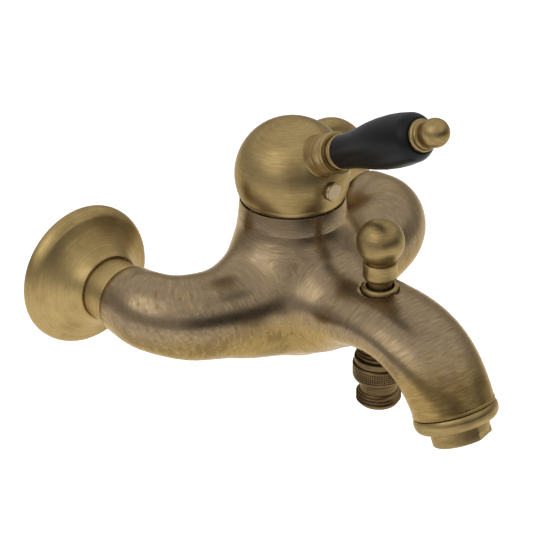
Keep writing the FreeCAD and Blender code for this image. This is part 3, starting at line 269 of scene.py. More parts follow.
@dataclass(frozen=True)
class Brass:
    """Brushed antique brass under a clear lacquer, with dark streaks and worn, paler strokes, and, where a
    top colour is given, painted sheen: a greyer colour towards the top that stands in for the lacquer's
    reflection of the light from above.

    A span holds two values of a pattern and what they are mapped onto.
    """

    name: str
    stand: Stand = Stand()
    grain: Grain = Grain.TURNED
    pale: Colour = (0.42, 0.315, 0.15)
    golden: Colour = (0.31, 0.222, 0.088)
    deep: Colour = (0.20, 0.134, 0.045)
    edge: Colour = (0.95, 0.83, 0.62)
    roughness: float = 0.36
    coat: float = 0.06
    haze: float = 0.015
    haze_colour: Colour = (0.62, 0.56, 0.56)
    cloud_scale: float = 0.045
    cloud_span: Span = (0.38, 0.64, 0.0, 1.0)
    patch_scale: float = 0.16
    worn_span: Span = (0.45, 0.75, 0.0, 0.15)
    lit_span: Span = (0.48, 0.7, 0.0, 0.55)
    dark_span: Span = (0.5, 0.28, 0.0, 0.9)
    # Painted top sheen: a greyer colour that takes over above a wavering height and paints the reflection of
    # the light from above; None leaves it out.
    painted_top_sheen: Colour | None = None
    painted_top_sheen_span: Span = (-9.0, 7.0, 0.0, 0.85)
    painted_top_sheen_sway: float = 8.0
    stroke_high: float = 1.9
    stroke_turn: float = 1.3
    stroke_sway: float = 2.4
    stroke_lean: float = -0.28
    fine_share: float = 0.6

    def turned_grain(self, sheet: NodeSheet, local: bpy.types.NodeSocket) -> bpy.types.NodeSocket:
        """Lay fine rings round the stand's axis.

        Args:
            sheet: the material's nodes.
            local: the place on the stand's axes.

        Returns:
            The streak's socket.
        """
        x, y, z = sheet.axes(local)
        radius = sheet.number("SQRT", sheet.number("ADD", sheet.number("POWER", x, 2.0),
                                                   sheet.number("POWER", y, 2.0)))
        turn = sheet.number("SINE", sheet.number("ARCTAN2", y, x))
        together = sheet.add("ShaderNodeCombineXYZ")
        scales = (self.stroke_high, self.stroke_turn, self.stroke_high)
        for value, scale, socket in zip((radius, turn, z), scales, together.inputs):
            sheet.join(sheet.number("MULTIPLY", value, scale), socket)
        turning = sheet.noise(together.outputs[0], 1.0, 4.0, 0.65)
        strokes = sheet.noise(sheet.stretch(local, (0.25, 0.25, 3.2)), 1.0, 3.0, 0.6)
        return self.both(sheet, turning, strokes)

    def crossing_grain(self, sheet: NodeSheet, local: bpy.types.NodeSocket) -> bpy.types.NodeSocket:
        """Lay strokes across the arms and the spout and round the neck, from the mesh's own way.

        Args:
            sheet: the material's nodes.
            local: the place on the stand's axes.

        Returns:
            The streak's socket.
        """
        way = sheet.add("ShaderNodeAttribute", attribute_name="way")
        sway = sheet.number("MULTIPLY", sheet.noise(local, 0.09), self.stroke_sway)
        lean = sheet.number("MULTIPLY", sheet.axes(local)[2], self.stroke_lean)
        bent = sheet.number("ADD", sheet.number("ADD", way.outputs["Fac"], sway), lean)
        layers = []
        for high, low in ((self.stroke_high, 0.14), (self.stroke_high * 0.5, 0.2)):
            strokes = sheet.add("ShaderNodeTexNoise", noise_dimensions="4D", in_Scale=1.0,
                                in_Detail=2.0, in_Roughness=0.5)
            sheet.join(sheet.stretch(local, (low, low, low)), strokes.inputs["Vector"])
            sheet.join(sheet.number("MULTIPLY", bent, high), strokes.inputs["W"])
            layers.append(strokes.outputs["Fac"])
        return self.both(sheet, *layers)

    def both(self, sheet: NodeSheet, fine: bpy.types.NodeSocket,
             coarse: bpy.types.NodeSocket) -> bpy.types.NodeSocket:
        """Add the fine and the coarse strokes, each by its share."""
        return sheet.number("ADD", sheet.number("MULTIPLY", fine, self.fine_share),
                            sheet.number("MULTIPLY", coarse, 1 - self.fine_share))

    def make(self) -> bpy.types.Material:
        """Build the material.

        Returns:
            The finished material.
        """
        sheet = NodeSheet(self.name)
        shader = sheet.shader
        for name, value in (("Metallic", 1.0), ("Coat Weight", self.coat), ("Coat Roughness", 0.2),
                            ("Coat IOR", 1.5), ("Specular Tint", self.edge)):
            sheet.feed(value, shader.inputs[name])
        local = sheet.place(self.stand)
        grain = self.turned_grain if self.grain is Grain.TURNED else self.crossing_grain
        streak = grain(sheet, local)
        cloud = sheet.noise(local, self.cloud_scale, 3.0, 0.55)
        patch = sheet.noise(local, self.patch_scale)
        base = sheet.mix(sheet.spread(cloud, *self.cloud_span), self.golden, self.deep)
        # Painted sheen: above a height that wavers with the patch noise, the base turns toward the greyer top
        # colour, which stands in for the reflection of the light from above.
        if self.painted_top_sheen:
            sway = sheet.number("MULTIPLY", patch, self.painted_top_sheen_sway)
            height = sheet.number("ADD", sheet.axes(local)[2], sway)
            base = sheet.mix(sheet.spread(height, *self.painted_top_sheen_span), base, self.painted_top_sheen)
        worn = sheet.mix(sheet.spread(patch, *self.worn_span), base, self.pale)
        lit = sheet.mix(sheet.spread(streak, *self.lit_span), worn, self.pale)
        dark = sheet.mix(sheet.spread(streak, *self.dark_span), lit, self.deep)
        sheet.join(dark, shader.inputs["Base Color"])
        sheet.join(sheet.spread(streak, 0.3, 0.7, self.roughness + 0.08, self.roughness - 0.04),
                   shader.inputs["Roughness"])
        sheet.bump(streak, 0.12, 0.0001)
        veil = sheet.add("ShaderNodeBsdfDiffuse", in_Color=(*self.haze_colour, 1), in_Roughness=0.3)
        veiled = sheet.add("ShaderNodeMixShader")
        veiled.inputs[0].default_value = self.haze
        sheet.join(shader.outputs["BSDF"], veiled.inputs[1])
        sheet.join(veil.outputs["BSDF"], veiled.inputs[2])
        sheet.join(veiled.outputs["Shader"], sheet.output.inputs["Surface"])
        return sheet.material


@dataclass(frozen=True)
class Plain:
    """A moulded, turned or lapped surface with faint unevenness."""

    name: str
    colour: Colour
    roughness: float
    metallic: float = 0.0
    grain_size: float = 0.9
    darkening: float = 0.78
    shine: float = 0.5

    def make(self) -> bpy.types.Material:
        """Build the material.

        Returns:
            The finished material.
        """
        sheet = NodeSheet(self.name)
        shader = sheet.shader
        for name, value in (("Metallic", self.metallic), ("Specular IOR Level", self.shine)):
            sheet.feed(value, shader.inputs[name])
        fine = sheet.noise(sheet.place(Stand()), self.grain_size, 4.0)
        darker = tuple(channel * self.darkening for channel in self.colour)
        sheet.join(sheet.mix(sheet.spread(fine, 0.35, 0.65), darker, self.colour),
                   shader.inputs["Base Color"])
        sheet.join(sheet.spread(fine, 0.3, 0.7, self.roughness - 0.04, self.roughness + 0.06),
                   shader.inputs["Roughness"])
        sheet.bump(fine, 0.1, 0.00008)
        return sheet.material


CAP_BRASS = Brass("cap_brass", CAP)
BLACK_GRIP = Plain("black_grip", (0.0045, 0.0045, 0.0052), 0.37, grain_size=1.3, shine=0.17)
SCREEN_STEEL = Plain("screen_steel", (0.55, 0.55, 0.54), 0.3, 1.0)


class Bench:
    """Modelling moves that the sub-assemblies share."""

    @staticmethod
    def pick(*pieces: bpy.types.Object) -> None:
        """Select these objects alone and make the first one active."""
        bpy.ops.object.select_all(action="DESELECT")
        for piece in pieces:
            piece.select_set(True)
        bpy.context.view_layer.objects.active = pieces[0]

    @staticmethod
    def start(name: str, primitive: Callable, **settings: object) -> bpy.types.Object:
        """Add a primitive with nothing else selected.

        Args:
            name: the new piece's name, and its mesh's.
            primitive: the operator that adds it.
            settings: the operator's settings.

        Returns:
            The new piece.
        """
        bpy.ops.object.select_all(action="DESELECT")
        primitive(**settings)
        piece = bpy.context.object
        piece.name = piece.data.name = name
        return piece

    @staticmethod
    def move(piece: bpy.types.Object, matrix: Matrix) -> None:
        """Move a piece and take the move into its mesh, so that its object stays at the origin."""
        Bench.pick(piece)
        piece.matrix_world = matrix
        bpy.ops.object.transform_apply(location=True, rotation=True, scale=True)

    @staticmethod
    def open(piece: bpy.types.Object, kind: str = "VERT") -> None:
        """Enter edit mode on one object with nothing selected."""
        Bench.pick(piece)
        bpy.ops.object.mode_set(mode="EDIT")
        bpy.ops.mesh.select_mode(type=kind)
        bpy.ops.mesh.select_all(action="DESELECT")

    @staticmethod
    def close() -> None:
        """Leave edit mode."""
        bpy.ops.object.mode_set(mode="OBJECT")

    @staticmethod
    def choose(piece: bpy.types.Object, kind: str, test: Callable[[object], bool]) -> int:
        """Open a piece and select the vertices, edges or faces that pass a test.

        Args:
            piece: the object.
            kind: VERT, EDGE or FACE.
            test: says of one element whether it is selected.

        Returns:
            How many were selected.
        """
        Bench.open(piece, kind)
        bpy.ops.object.mode_set(mode="OBJECT")
        mesh = piece.data
        items = {"VERT": mesh.vertices, "EDGE": mesh.edges, "FACE": mesh.polygons}[kind]
        chosen = 0
        for item in items:
            item.select = test(item)
            chosen += item.select
        bpy.ops.object.mode_set(mode="EDIT")
        return chosen

    @staticmethod
    def modify(piece: bpy.types.Object, kind: str, **settings: object) -> None:
        """Add a modifier and apply it.

        Args:
            piece: the object.
            kind: Blender's name of the modifier type.
            settings: attributes of the modifier.
        """
        Bench.pick(piece)
        modifier = piece.modifiers.new(kind.lower(), kind)
        for key, value in settings.items():
            setattr(modifier, key, value)
        bpy.ops.object.modifier_apply(modifier=modifier.name)

    @staticmethod
    def trace(outline: Outline) -> list[Vector]:
        """Turn an outline of corners and arcs into points.

        Args:
            outline: (radius, height) corners in millimetres; a third number is the radius of
                the arc that reaches the corner, positive where it bulges to the right of the way.

        Returns:
            The points, in metres, in the plane x, z.
        """
        points: list[Vector] = []
        for index, corner in enumerate(outline):
            end = Vector((corner[0], 0, corner[1]))
            if len(corner) > 2 and corner[2]:
                start = Vector((outline[index - 1][0], 0, outline[index - 1][1]))
                chord = end - start
                side = 1 if corner[2] > 0 else -1
                size = max(abs(corner[2]), chord.length / 2)
                left = Vector((-chord.z, 0, chord.x)).normalized()
                centre = (start + end) / 2 + left * side * math.sqrt(size ** 2 - (chord.length / 2) ** 2)
                sweep = 2 * math.asin(min(chord.length / 2 / size, 1))
                count = max(2, math.ceil(sweep / ARC_STEP))
                first = math.atan2(start.z - centre.z, start.x - centre.x)
                for step in range(1, count):
                    angle = first + side * sweep * step / count
                    points.append(centre + Vector((math.cos(angle), 0, math.sin(angle))) * size)
            points.append(end)
        return [point * MM for point in points]

    @staticmethod
    def wire(name: str, points: list[Vector], closed: bool) -> bpy.types.Object:
        """Draw a line by extruding one vertex from point to point, and stay in edit mode.

        Args:
            name: the piece's name.
            points: the line's points, in metres.
            closed: whether it returns to its first point.

        Returns:
            The piece, all selected.
        """
        piece = Bench.start(name, bpy.ops.mesh.primitive_plane_add, size=MM, location=(0, 0, 0))
        bpy.ops.object.mode_set(mode="EDIT")
        bpy.ops.mesh.select_mode(type="VERT")
        bpy.ops.mesh.select_all(action="SELECT")
        bpy.ops.mesh.merge(type="CENTER")
        bpy.ops.transform.translate(value=points[0])
        for before, after in zip(points, points[1:] + (points[:1] if closed else [])):
            bpy.ops.mesh.extrude_vertices_move(TRANSFORM_OT_translate={"value": after - before})
        bpy.ops.mesh.select_all(action="SELECT")
        bpy.ops.mesh.remove_doubles(threshold=TOUCHING)
        return piece

    @staticmethod
    def lathe(name: str, outline: Outline, steps: int = ROUND_STEPS) -> bpy.types.Object:
        """Turn a piece about Z: a vertex is extruded along the outline, then spun.

        Args:
            name: the piece's name.
            outline: corners as in trace; it is closed unless it starts and ends on the axis.
            steps: sides of the round.

        Returns:
            The piece, on its own axes.
        """
        points = Bench.trace(outline)
        piece = Bench.wire(name, points, points[0].x > TOUCHING)
        bpy.ops.mesh.spin(steps=steps, angle=FULL_TURN, center=(0, 0, 0), axis=(0, 0, 1))
        bpy.ops.mesh.select_all(action="SELECT")
        bpy.ops.mesh.remove_doubles(threshold=TOUCHING)
        bpy.ops.mesh.normals_make_consistent(inside=False)
        Bench.close()
        return piece

    @staticmethod
    def soften(piece: bpy.types.Object, width: float, segments: int = 2, angle: float = 28.0) -> None:
        """Round the sharp edges of a piece by a width in millimetres."""
        Bench.modify(piece, "BEVEL", width=width * MM, segments=segments, limit_method="ANGLE",
                     angle_limit=math.radians(angle))

    @staticmethod
    def copy(piece: bpy.types.Object, name: str) -> bpy.types.Object:
        """Copy an object with a mesh of its own."""
        twin = piece.copy()
        twin.data = piece.data.copy()
        twin.name = twin.data.name = name
        bpy.context.scene.collection.objects.link(twin)
        return twin

    @staticmethod
    def weld(name: str, pieces: list[bpy.types.Object]) -> bpy.types.Object:
        """Join pieces into one object."""
        Bench.pick(*pieces)
        bpy.ops.object.join()
        whole = bpy.context.object
        whole.name = whole.data.name = name
        return whole

    @staticmethod
    def settle(piece: bpy.types.Object, stand: Stand, smooth: float = 32.0) -> None:
        """Put a piece on its stand and shade it.

        Args:
            piece: the object, modelled on its own axes.
            stand: where it goes.
            smooth: edges sharper than this angle stay sharp.
        """
        Bench.move(piece, stand.matrix())
        bpy.ops.object.shade_smooth_by_angle(angle=math.radians(smooth))


class Fitter:
    """Gives finished pieces their finish and hangs them on the frame."""

    def __init__(self) -> None:
        """Start with no finish made."""
        self.made: dict[str, bpy.types.Material] = {}

    def material(self, finish: object) -> bpy.types.Material:
        """Make a finish once and return its material."""
        if finish.name not in self.made:
            self.made[finish.name] = finish.make()
        return self.made[finish.name]

    def fit(self, piece: bpy.types.Object, body: str, slot: str, finish: object, *nodes: str) -> None:
        """Dress a piece and hang it on a body.

        Args:
            piece: the finished object.
            body: the body that it rides on.
            slot: the record's material slot; not used.
            finish: its finish.
            nodes: the CAD nodes that it stands for.
        """
        piece.data.materials.clear()
        piece.data.materials.append(self.material(finish))
        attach(piece, body)
        if nodes:
            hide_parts(*nodes)
        front = min(vertex.co.y for vertex in piece.data.vertices) / MM
        log.info("%s: %d faces on %s, front at y %.3f", piece.name, len(piece.data.polygons), body, front)

    def turned(self, name: str, outline: Outline, stand: Stand, finish: object, *nodes: str,
               body: str = "mixer", slot: str = "antique_brass", edge: float = 0.12, segments: int = 2,
               steps: int = ROUND_STEPS, smooth: float = 32.0) -> None:
        """Turn a piece, round its edges, put it on its stand and fit it.

        Args:
            name: the piece's name.
            outline: corners as in Bench.trace.
            stand: where it goes.
            finish: its finish.
            nodes: the CAD nodes that it stands for.
            body: the body that it rides on.
            slot: the record's material slot.
            edge: width of its rounded edges in millimetres.
            segments: faces across a rounded edge.
            steps: sides of the round.
            smooth: edges sharper than this angle stay sharp.
        """
        piece = Bench.lathe(name, outline, steps)
        Bench.soften(piece, edge, segments)
        Bench.settle(piece, stand, smooth)
        self.fit(piece, body, slot, finish, *nodes)


@dataclass(frozen=True)
class Limb:
    """A curved tube of the casting: a cubic's four points and the radii spread along it."""

    points: tuple[Point, ...]
    radii: tuple[float, ...]
    samples: int = 61
    overrun: float = 0.75

    def measure(self, spots: np.ndarray) -> tuple[np.ndarray, np.ndarray]:
        """Measure points against the tube.

        Args:
            spots: the points in millimetres.

        Returns:
            Each point's distance from the tube, and its way along the middle line.
        """
        share = np.linspace(0, 1, self.samples)[:, None]
        one, two, three, four = (np.array(point) for point in self.points)
        line = ((1 - share) ** 3 * one + 3 * share * (1 - share) ** 2 * two
                + 3 * share ** 2 * (1 - share) * three + share ** 3 * four)
        radii = np.polyval(np.polyfit(np.linspace(0, 1, len(self.radii)), self.radii, 3), share[:, 0])
        travel = np.gradient(line, axis=0)
        reach = np.linalg.norm(travel, axis=1)
        way = np.concatenate([[0], np.cumsum((reach[1:] + reach[:-1]) / 2)])
        gaps = np.linalg.norm(spots[:, None, :] - line[None], axis=2) - radii
        best = gaps.argmin(axis=1)
        ahead = ((spots - line[best]) * travel[best]).sum(axis=1) / reach[best]
        limit = reach[best] * self.overrun
        return gaps.min(axis=1), way[best] + np.clip(ahead, -limit, limit)


@dataclass
class Casting:
    """The hollow body: arms, belly, neck and spout in one casting with soft inner corners."""

    fitter: Fitter
    cell: float = 1.04
    coarse_cell: float = 2.1
    coarse_rounds: int = 900
    fine_rounds: int = 40
    # The casting's greyer top colour is painted sheen: the reflection of the light from above, painted into
    # the brass.
    finish: Brass = Brass("body_brass", grain=Grain.ACROSS, golden=(0.262, 0.175, 0.058),
                          deep=(0.165, 0.104, 0.030), pale=(0.39, 0.282, 0.125), painted_top_sheen=(0.235, 0.175, 0.115),
                          roughness=0.28, coat=0.08, haze=0.008, stroke_high=2.7)
    zone_x: tuple[float, float] = (58.0, 70.0)
    zone_front: tuple[float, float] = (106.0, 114.0)
    zone_top: tuple[float, float] = (30.0, 36.0)
    far_wall: float = 42.0
    catch_up: float = 4.0
    neck_y: float = 65.2
    neck_hollow: float = 22.0
    neck_hollow_z: float = 5.0
    middle_z: float = -9.8
    arm: Limb = Limb(((0.0, -64.0, -9.8), (-35.0, -66.0, -9.8), (-75.0, -74.0, 0.0), (-75.0, -42.2, 0.0)),
                     (31.0, 23.2, 19.4, 17.2))
    spout: Limb = Limb(((0.0, -59.0, -9.8), (0.0, -88.0, -15.7), (0.0, -147.4, 25.3), (0.0, -170.6, -27.2)),
                       (35.2, 22.0, 18.0, 18.6))
    arms_bridge: float = 4.0
    sag: float = 3.4
    sag_y: float = 0.097
    sag_width: float = 0.06
    sag_length: float = 0.046
    sag_top: float = -12.0
    sag_full: float = -26.0
    flare: float = 0.9
    flare_foot: tuple[float, float] = (2.0, 14.0)
    flare_top: tuple[float, float] = (27.0, 22.0)
    flare_reach: tuple[float, float] = (33.0, 28.0)
    neck_radius: float = 27.0
    blend: float = 4.0
    neck_lip: float = 0.04
    neck_rim: float = 24.6
    neck_rim_z: float = 38.5
    neck_waist: float = 27.55
    neck_waist_z: float = 20.0
    neck_curve: float = 130.0
    rim_proud: float = 0.02
    spout_rim: float = 18.62

    def share(self, spot: Vector, normal: Vector, solid: BVHTree) -> float:
        """Say how far a point belongs to the corners that are filled, from 0 to 1.

        Args:
            spot: a point of the surface.
            normal: the surface's direction there.
            solid: the casting as built, to tell its outside from its waterways.

        Returns:
            The share.
        """
        whole = (fade(abs(spot.x) / MM, self.zone_x) * fade(-spot.y / MM, self.zone_front)
                 * fade(spot.z / MM, self.zone_top))
        in_neck = math.hypot(spot.x, spot.y + self.neck_y * MM) < self.neck_hollow * MM
        if not whole or (in_neck and spot.z > self.neck_hollow_z * MM):
            return 0.0
        hit = solid.ray_cast(spot + normal * MM, normal, self.far_wall * MM)[0]
        return whole if hit is None else 0.0

    def shares(self, mesh: bpy.types.Mesh, solid: BVHTree) -> np.ndarray:
        """Give the share of every vertex of a mesh."""
        return np.array([self.share(vertex.co, vertex.normal, solid) for vertex in mesh.vertices])

    @staticmethod
    def evened(mesh: bpy.types.Mesh, shares: np.ndarray, rounds: int = 4) -> np.ndarray:
        """Even out the shares between neighbours, so that no vertex stays behind alone.

        Args:
            mesh: the mesh that they belong to.
            shares: how far each vertex takes part.
            rounds: how often neighbours are averaged.

        Returns:
            The evened shares.
        """
        ends = np.empty(len(mesh.edges) * 2, dtype=np.int64)
        mesh.edges.foreach_get("vertices", ends)
        (first, second), count = ends.reshape(-1, 2).T, len(shares)
        valence = np.bincount(ends, minlength=count)
        for _ in range(rounds):
            around = np.bincount(first, shares[second], count) + np.bincount(second, shares[first], count)
            shares = (shares + around / valence) / 2
        return shares

    @staticmethod
    def flow(mesh: bpy.types.Mesh, shares: np.ndarray, rounds: int, level: float = 0.0) -> None:
        """Fill hollows: each vertex moves toward its neighbours' mean, outward first of all.

        Args:
            mesh: the mesh that is changed.
            shares: how far each vertex takes part.
            rounds: how many small steps are made.
            level: the part of an inward step that is allowed, from none at 0 to all of it at 1.
        """
        outward_part, sideways_part, normals_every = 0.8, 0.2, 10
        count = len(mesh.vertices)
        spots, normals = np.empty(count * 3), np.empty(count * 3)
        ends = np.empty(len(mesh.edges) * 2, dtype=np.int64)
        mesh.vertices.foreach_get("co", spots)
        mesh.edges.foreach_get("vertices", ends)
        spots, (first, second) = spots.reshape(-1, 3), ends.reshape(-1, 2).T
        valence = np.bincount(ends, minlength=count)[:, None]
        for step in range(rounds):
            if step % normals_every == 0:
                mesh.vertices.foreach_set("co", spots.ravel())
                mesh.update()
                mesh.vertices.foreach_get("normal", normals)
                outward = normals.reshape(-1, 3)
            mean = np.stack([np.bincount(first, spots[second, axis], count)
                             + np.bincount(second, spots[first, axis], count)
                             for axis in range(3)], axis=1) / valence
            move = mean - spots
            rise = (move * outward).sum(axis=1)[:, None]
            slide = move - outward * rise
            rise = np.where(rise > 0, rise, rise * level)
            spots += shares[:, None] * (outward * rise * outward_part + slide * sideways_part)
        mesh.vertices.foreach_set("co", spots.ravel())
        mesh.update()

    def grain_way(self, mesh: bpy.types.Mesh) -> None:
        """Store how far along its limb each vertex lies, for strokes that run across the limbs."""
        spots = np.empty(len(mesh.vertices) * 3)
        mesh.vertices.foreach_get("co", spots)
        spots = spots.reshape(-1, 3) / MM
        left = spots.copy()
        left[:, 0] = -np.sqrt(spots[:, 0] ** 2 + self.arms_bridge ** 2)
        arm_gap, arm_way = self.arm.measure(left)
        spout_gap, spout_way = self.spout.measure(spots)
        neck_gap = np.hypot(spots[:, 0], spots[:, 1] + self.neck_y) - self.neck_radius
        neck_way = spots[:, 2] - self.middle_z
        neck_gap = np.maximum(neck_gap, -neck_way)
        gaps = np.stack([arm_gap, spout_gap, neck_gap])
        weights = np.exp(-(gaps - gaps.min(axis=0)) / self.blend)
        way = (weights * np.stack([arm_way, spout_way, neck_way])).sum(axis=0) / weights.sum(axis=0)
        mesh.attributes.new("way", "FLOAT", "POINT").data.foreach_set("value", way.astype(np.float32))

    def remeshed(self, source: bpy.types.Object, cell: float, name: str) -> bpy.types.Object:
        """Copy the casting as an even mesh of small cells."""
        twin = Bench.copy(source, name)
        Bench.modify(twin, "REMESH", mode="VOXEL", voxel_size=cell * MM)
        return twin

    def filled_corners(self, source: bpy.types.Object, solid: BVHTree) -> Callable[[Vector, Vector], Vector]:
        """Fill the inner corners on a coarse copy.

        Args:
            source: the casting as built.
            solid: the same, as a tree.

        Returns:
            A function that moves a spot as the coarse face nearest to a place moves.
        """
        rough = self.remeshed(source, self.coarse_cell, "rough_casting")
        corners = [tuple(face.vertices) for face in rough.data.polygons]
        before = [vertex.co.copy() for vertex in rough.data.vertices]
        even = BVHTree.FromPolygons(before, corners)
        self.flow(rough.data, self.shares(rough.data, solid), self.coarse_rounds)
        moves = [vertex.co - spot for vertex, spot in zip(rough.data.vertices, before)]
        bpy.data.objects.remove(rough)

        def carried(place: Vector, spot: Vector) -> Vector:
            """Move a spot by the corners of the coarse face that is nearest to a place."""
            near, _, index, _ = even.find_nearest(place)
            weights = poly_3d_calc([before[corner] for corner in corners[index]], near)
            for weight, corner in zip(weights, corners[index]):
                spot = spot + moves[corner] * weight
            return spot
        return carried

    def widen_neck(self, mesh: bpy.types.Mesh, shares: np.ndarray) -> None:
        """Push the neck's foot outward, where it flares onto the arms."""
        for vertex, share in zip(mesh.vertices, shares):
            outward = Vector((vertex.co.x, vertex.co.y + self.neck_y * MM, 0))
            reach, height = math.hypot(outward.x, outward.y) / MM, vertex.co.z / MM
            grow = (ramp(height, *self.flare_foot) * ramp(height, *self.flare_top)
                    * ramp(reach, *self.flare_reach) * min(share * self.catch_up, 1.0))
            if grow:
                vertex.co += outward * (self.flare * grow / reach)

    def lower_belly(self, mesh: bpy.types.Mesh, shares: np.ndarray) -> None:
        """Let the belly's underside sag between the arms."""
        for vertex, share in zip(mesh.vertices, shares):
            away = math.hypot(vertex.co.x / self.sag_width, (vertex.co.y + self.sag_y) / self.sag_length)
            if share and away < 1:
                part = ramp(vertex.co.z / MM, self.sag_top, self.sag_full) * min(share * self.catch_up, 1.0)
                vertex.co.z -= self.sag * MM * (1 - away * away) ** 2 * part

    def body(self) -> bpy.types.Object:
        """Copy the CAD casting, remesh it and fill its inner corners.

        Returns:
            The body.
        """
        source = Bench.copy(frame["nodes"]["mixer_body"], "casting_source")
        source.parent = None
        Bench.open(source)
        bpy.ops.mesh.select_all(action="SELECT")
        bpy.ops.mesh.remove_doubles(threshold=TOUCHING)
        Bench.close()
        solid = BVHTree.FromPolygons([vertex.co for vertex in source.data.vertices],
                                     [tuple(face.vertices) for face in source.data.polygons])
        carried = self.filled_corners(source, solid)
        body = self.remeshed(source, self.cell, "body_casting")
        bpy.data.objects.remove(source)
        shares = self.shares(body.data, solid)
        for vertex, share in zip(body.data.vertices, shares):
            spot = solid.find_nearest(vertex.co)[0]
            vertex.co = carried(vertex.co, spot) if share else spot
        shares = self.evened(body.data, shares)
        self.widen_neck(body.data, shares)
        self.flow(body.data, shares, self.fine_rounds, 1.0)
        self.lower_belly(body.data, shares)
        return body

    def finished(self, piece: bpy.types.Object, stand: Stand, smooth: float, *nodes: str) -> None:
        """Put a piece of the casting on its stand, store its strokes' way and fit it."""
        Bench.settle(piece, stand, smooth)
        self.grain_way(piece.data)
        self.fitter.fit(piece, "mixer", "antique_brass", self.finish, *nodes)

    def build(self) -> None:
        """Model the body and the crisp rims at the neck and the spout's end."""
        waist, rim, rim_z = self.neck_waist, self.neck_rim, self.neck_rim_z + self.rim_proud
        collar = Bench.lathe("neck_rim", [
            (waist - 1.6, self.neck_waist_z), (waist - 0.3, self.neck_waist_z),
            (rim + self.neck_lip, rim_z, -self.neck_curve), (rim - 0.52, rim_z),
            (rim - 1.6, self.neck_rim_z - 3.0),
        ], ROUND_STEPS + 32)
        Bench.soften(collar, 0.12)
        self.finished(collar, Stand(y=-self.neck_y), 32.0)
        end = self.spout_rim
        lip = Bench.lathe("spout_lip", [
            (end - 2.0, 0.0), (end - 0.1, 0.0), (end + 0.2, 0.45, 0.5), (end + 0.1, 1.0, 0.9),
            (end - 0.7, 1.5),
        ], ROUND_STEPS + 32)
        self.finished(lip, MOUTH, 60.0)
        self.finished(self.body(), Stand(), 50.0, "mixer_body")


@dataclass
class WallSide:
    """Flange and union nut of one inlet, modelled on the left and copied for the right."""

    fitter: Fitter
    flange_radius: float = 34.0
    flange_depth: float = 21.0
    flange_wall: float = 1.5
    rim_start: float = 0.9
    rim: float = 7.24
    rim_in: float = 4.04
    rim_round: float = 7.0
    flare: float = 28.6
    mouth: float = 15.04
    lip: float = 1.1
    nut_radius: float = 15.0
    nut_bore: float = 13.25
    nut_start: float = 13.0
    nut_end: float = 33.0
    nut_floor: float = 28.8
    nut_hole: float = 10.25

    def flange(self) -> bpy.types.Object:
        """Turn the bell-shaped flange with its rolled rim.

        Returns:
            The flange on its own axes.
        """
        outside, wall, depth = self.flange_radius, self.flange_wall, self.flange_depth
        inside = outside - wall
        piece = Bench.lathe("flange", [
            (inside, 0.0), (outside - 0.5, 0.0), (outside, 0.5, 0.5), (outside, self.rim_start),
            (outside - self.rim_in, self.rim, self.rim_round),
            (self.mouth + self.lip, depth, -self.flare), (self.mouth, depth), (self.mouth, depth - wall),
            (inside - 3.0, self.rim - wall - 0.6, self.flare + wall), (inside, 1.2),
        ], ROUND_STEPS + 32)
        Bench.soften(piece, 0.25, 3)
        return piece

    def nut(self) -> bpy.types.Object:
        """Turn the plain union nut.

        Returns:
            The nut on its own axes.
        """
        piece = Bench.lathe("nut", [
            (self.nut_bore, self.nut_start), (self.nut_radius, self.nut_start),
            (self.nut_radius, self.nut_end), (self.nut_hole, self.nut_end),
            (self.nut_hole, self.nut_floor), (self.nut_bore, self.nut_floor),
        ])
        Bench.soften(piece, 0.55, 3)
        return piece

    def build(self) -> None:
        """Make both sides."""
        for kind, node, make in (("flange_bell", "wall_flange", self.flange),
                                 ("nut_sleeve", "union_nut", self.nut)):
            left = make()
            right = Bench.copy(left, f"{kind}_right")
            left.name = left.data.name = f"{kind}_left"
            for side, piece, stand in (("left", left, WALL_LEFT), ("right", right, WALL_RIGHT)):
                Bench.settle(piece, stand)
                finish = Brass(f"{kind}_brass_{side}", stand, golden=(0.35, 0.25, 0.098),
                               deep=(0.25, 0.172, 0.06), pale=(0.46, 0.34, 0.15))
                self.fitter.fit(piece, "mixer", "antique_brass", finish, f"{node}_{side}")


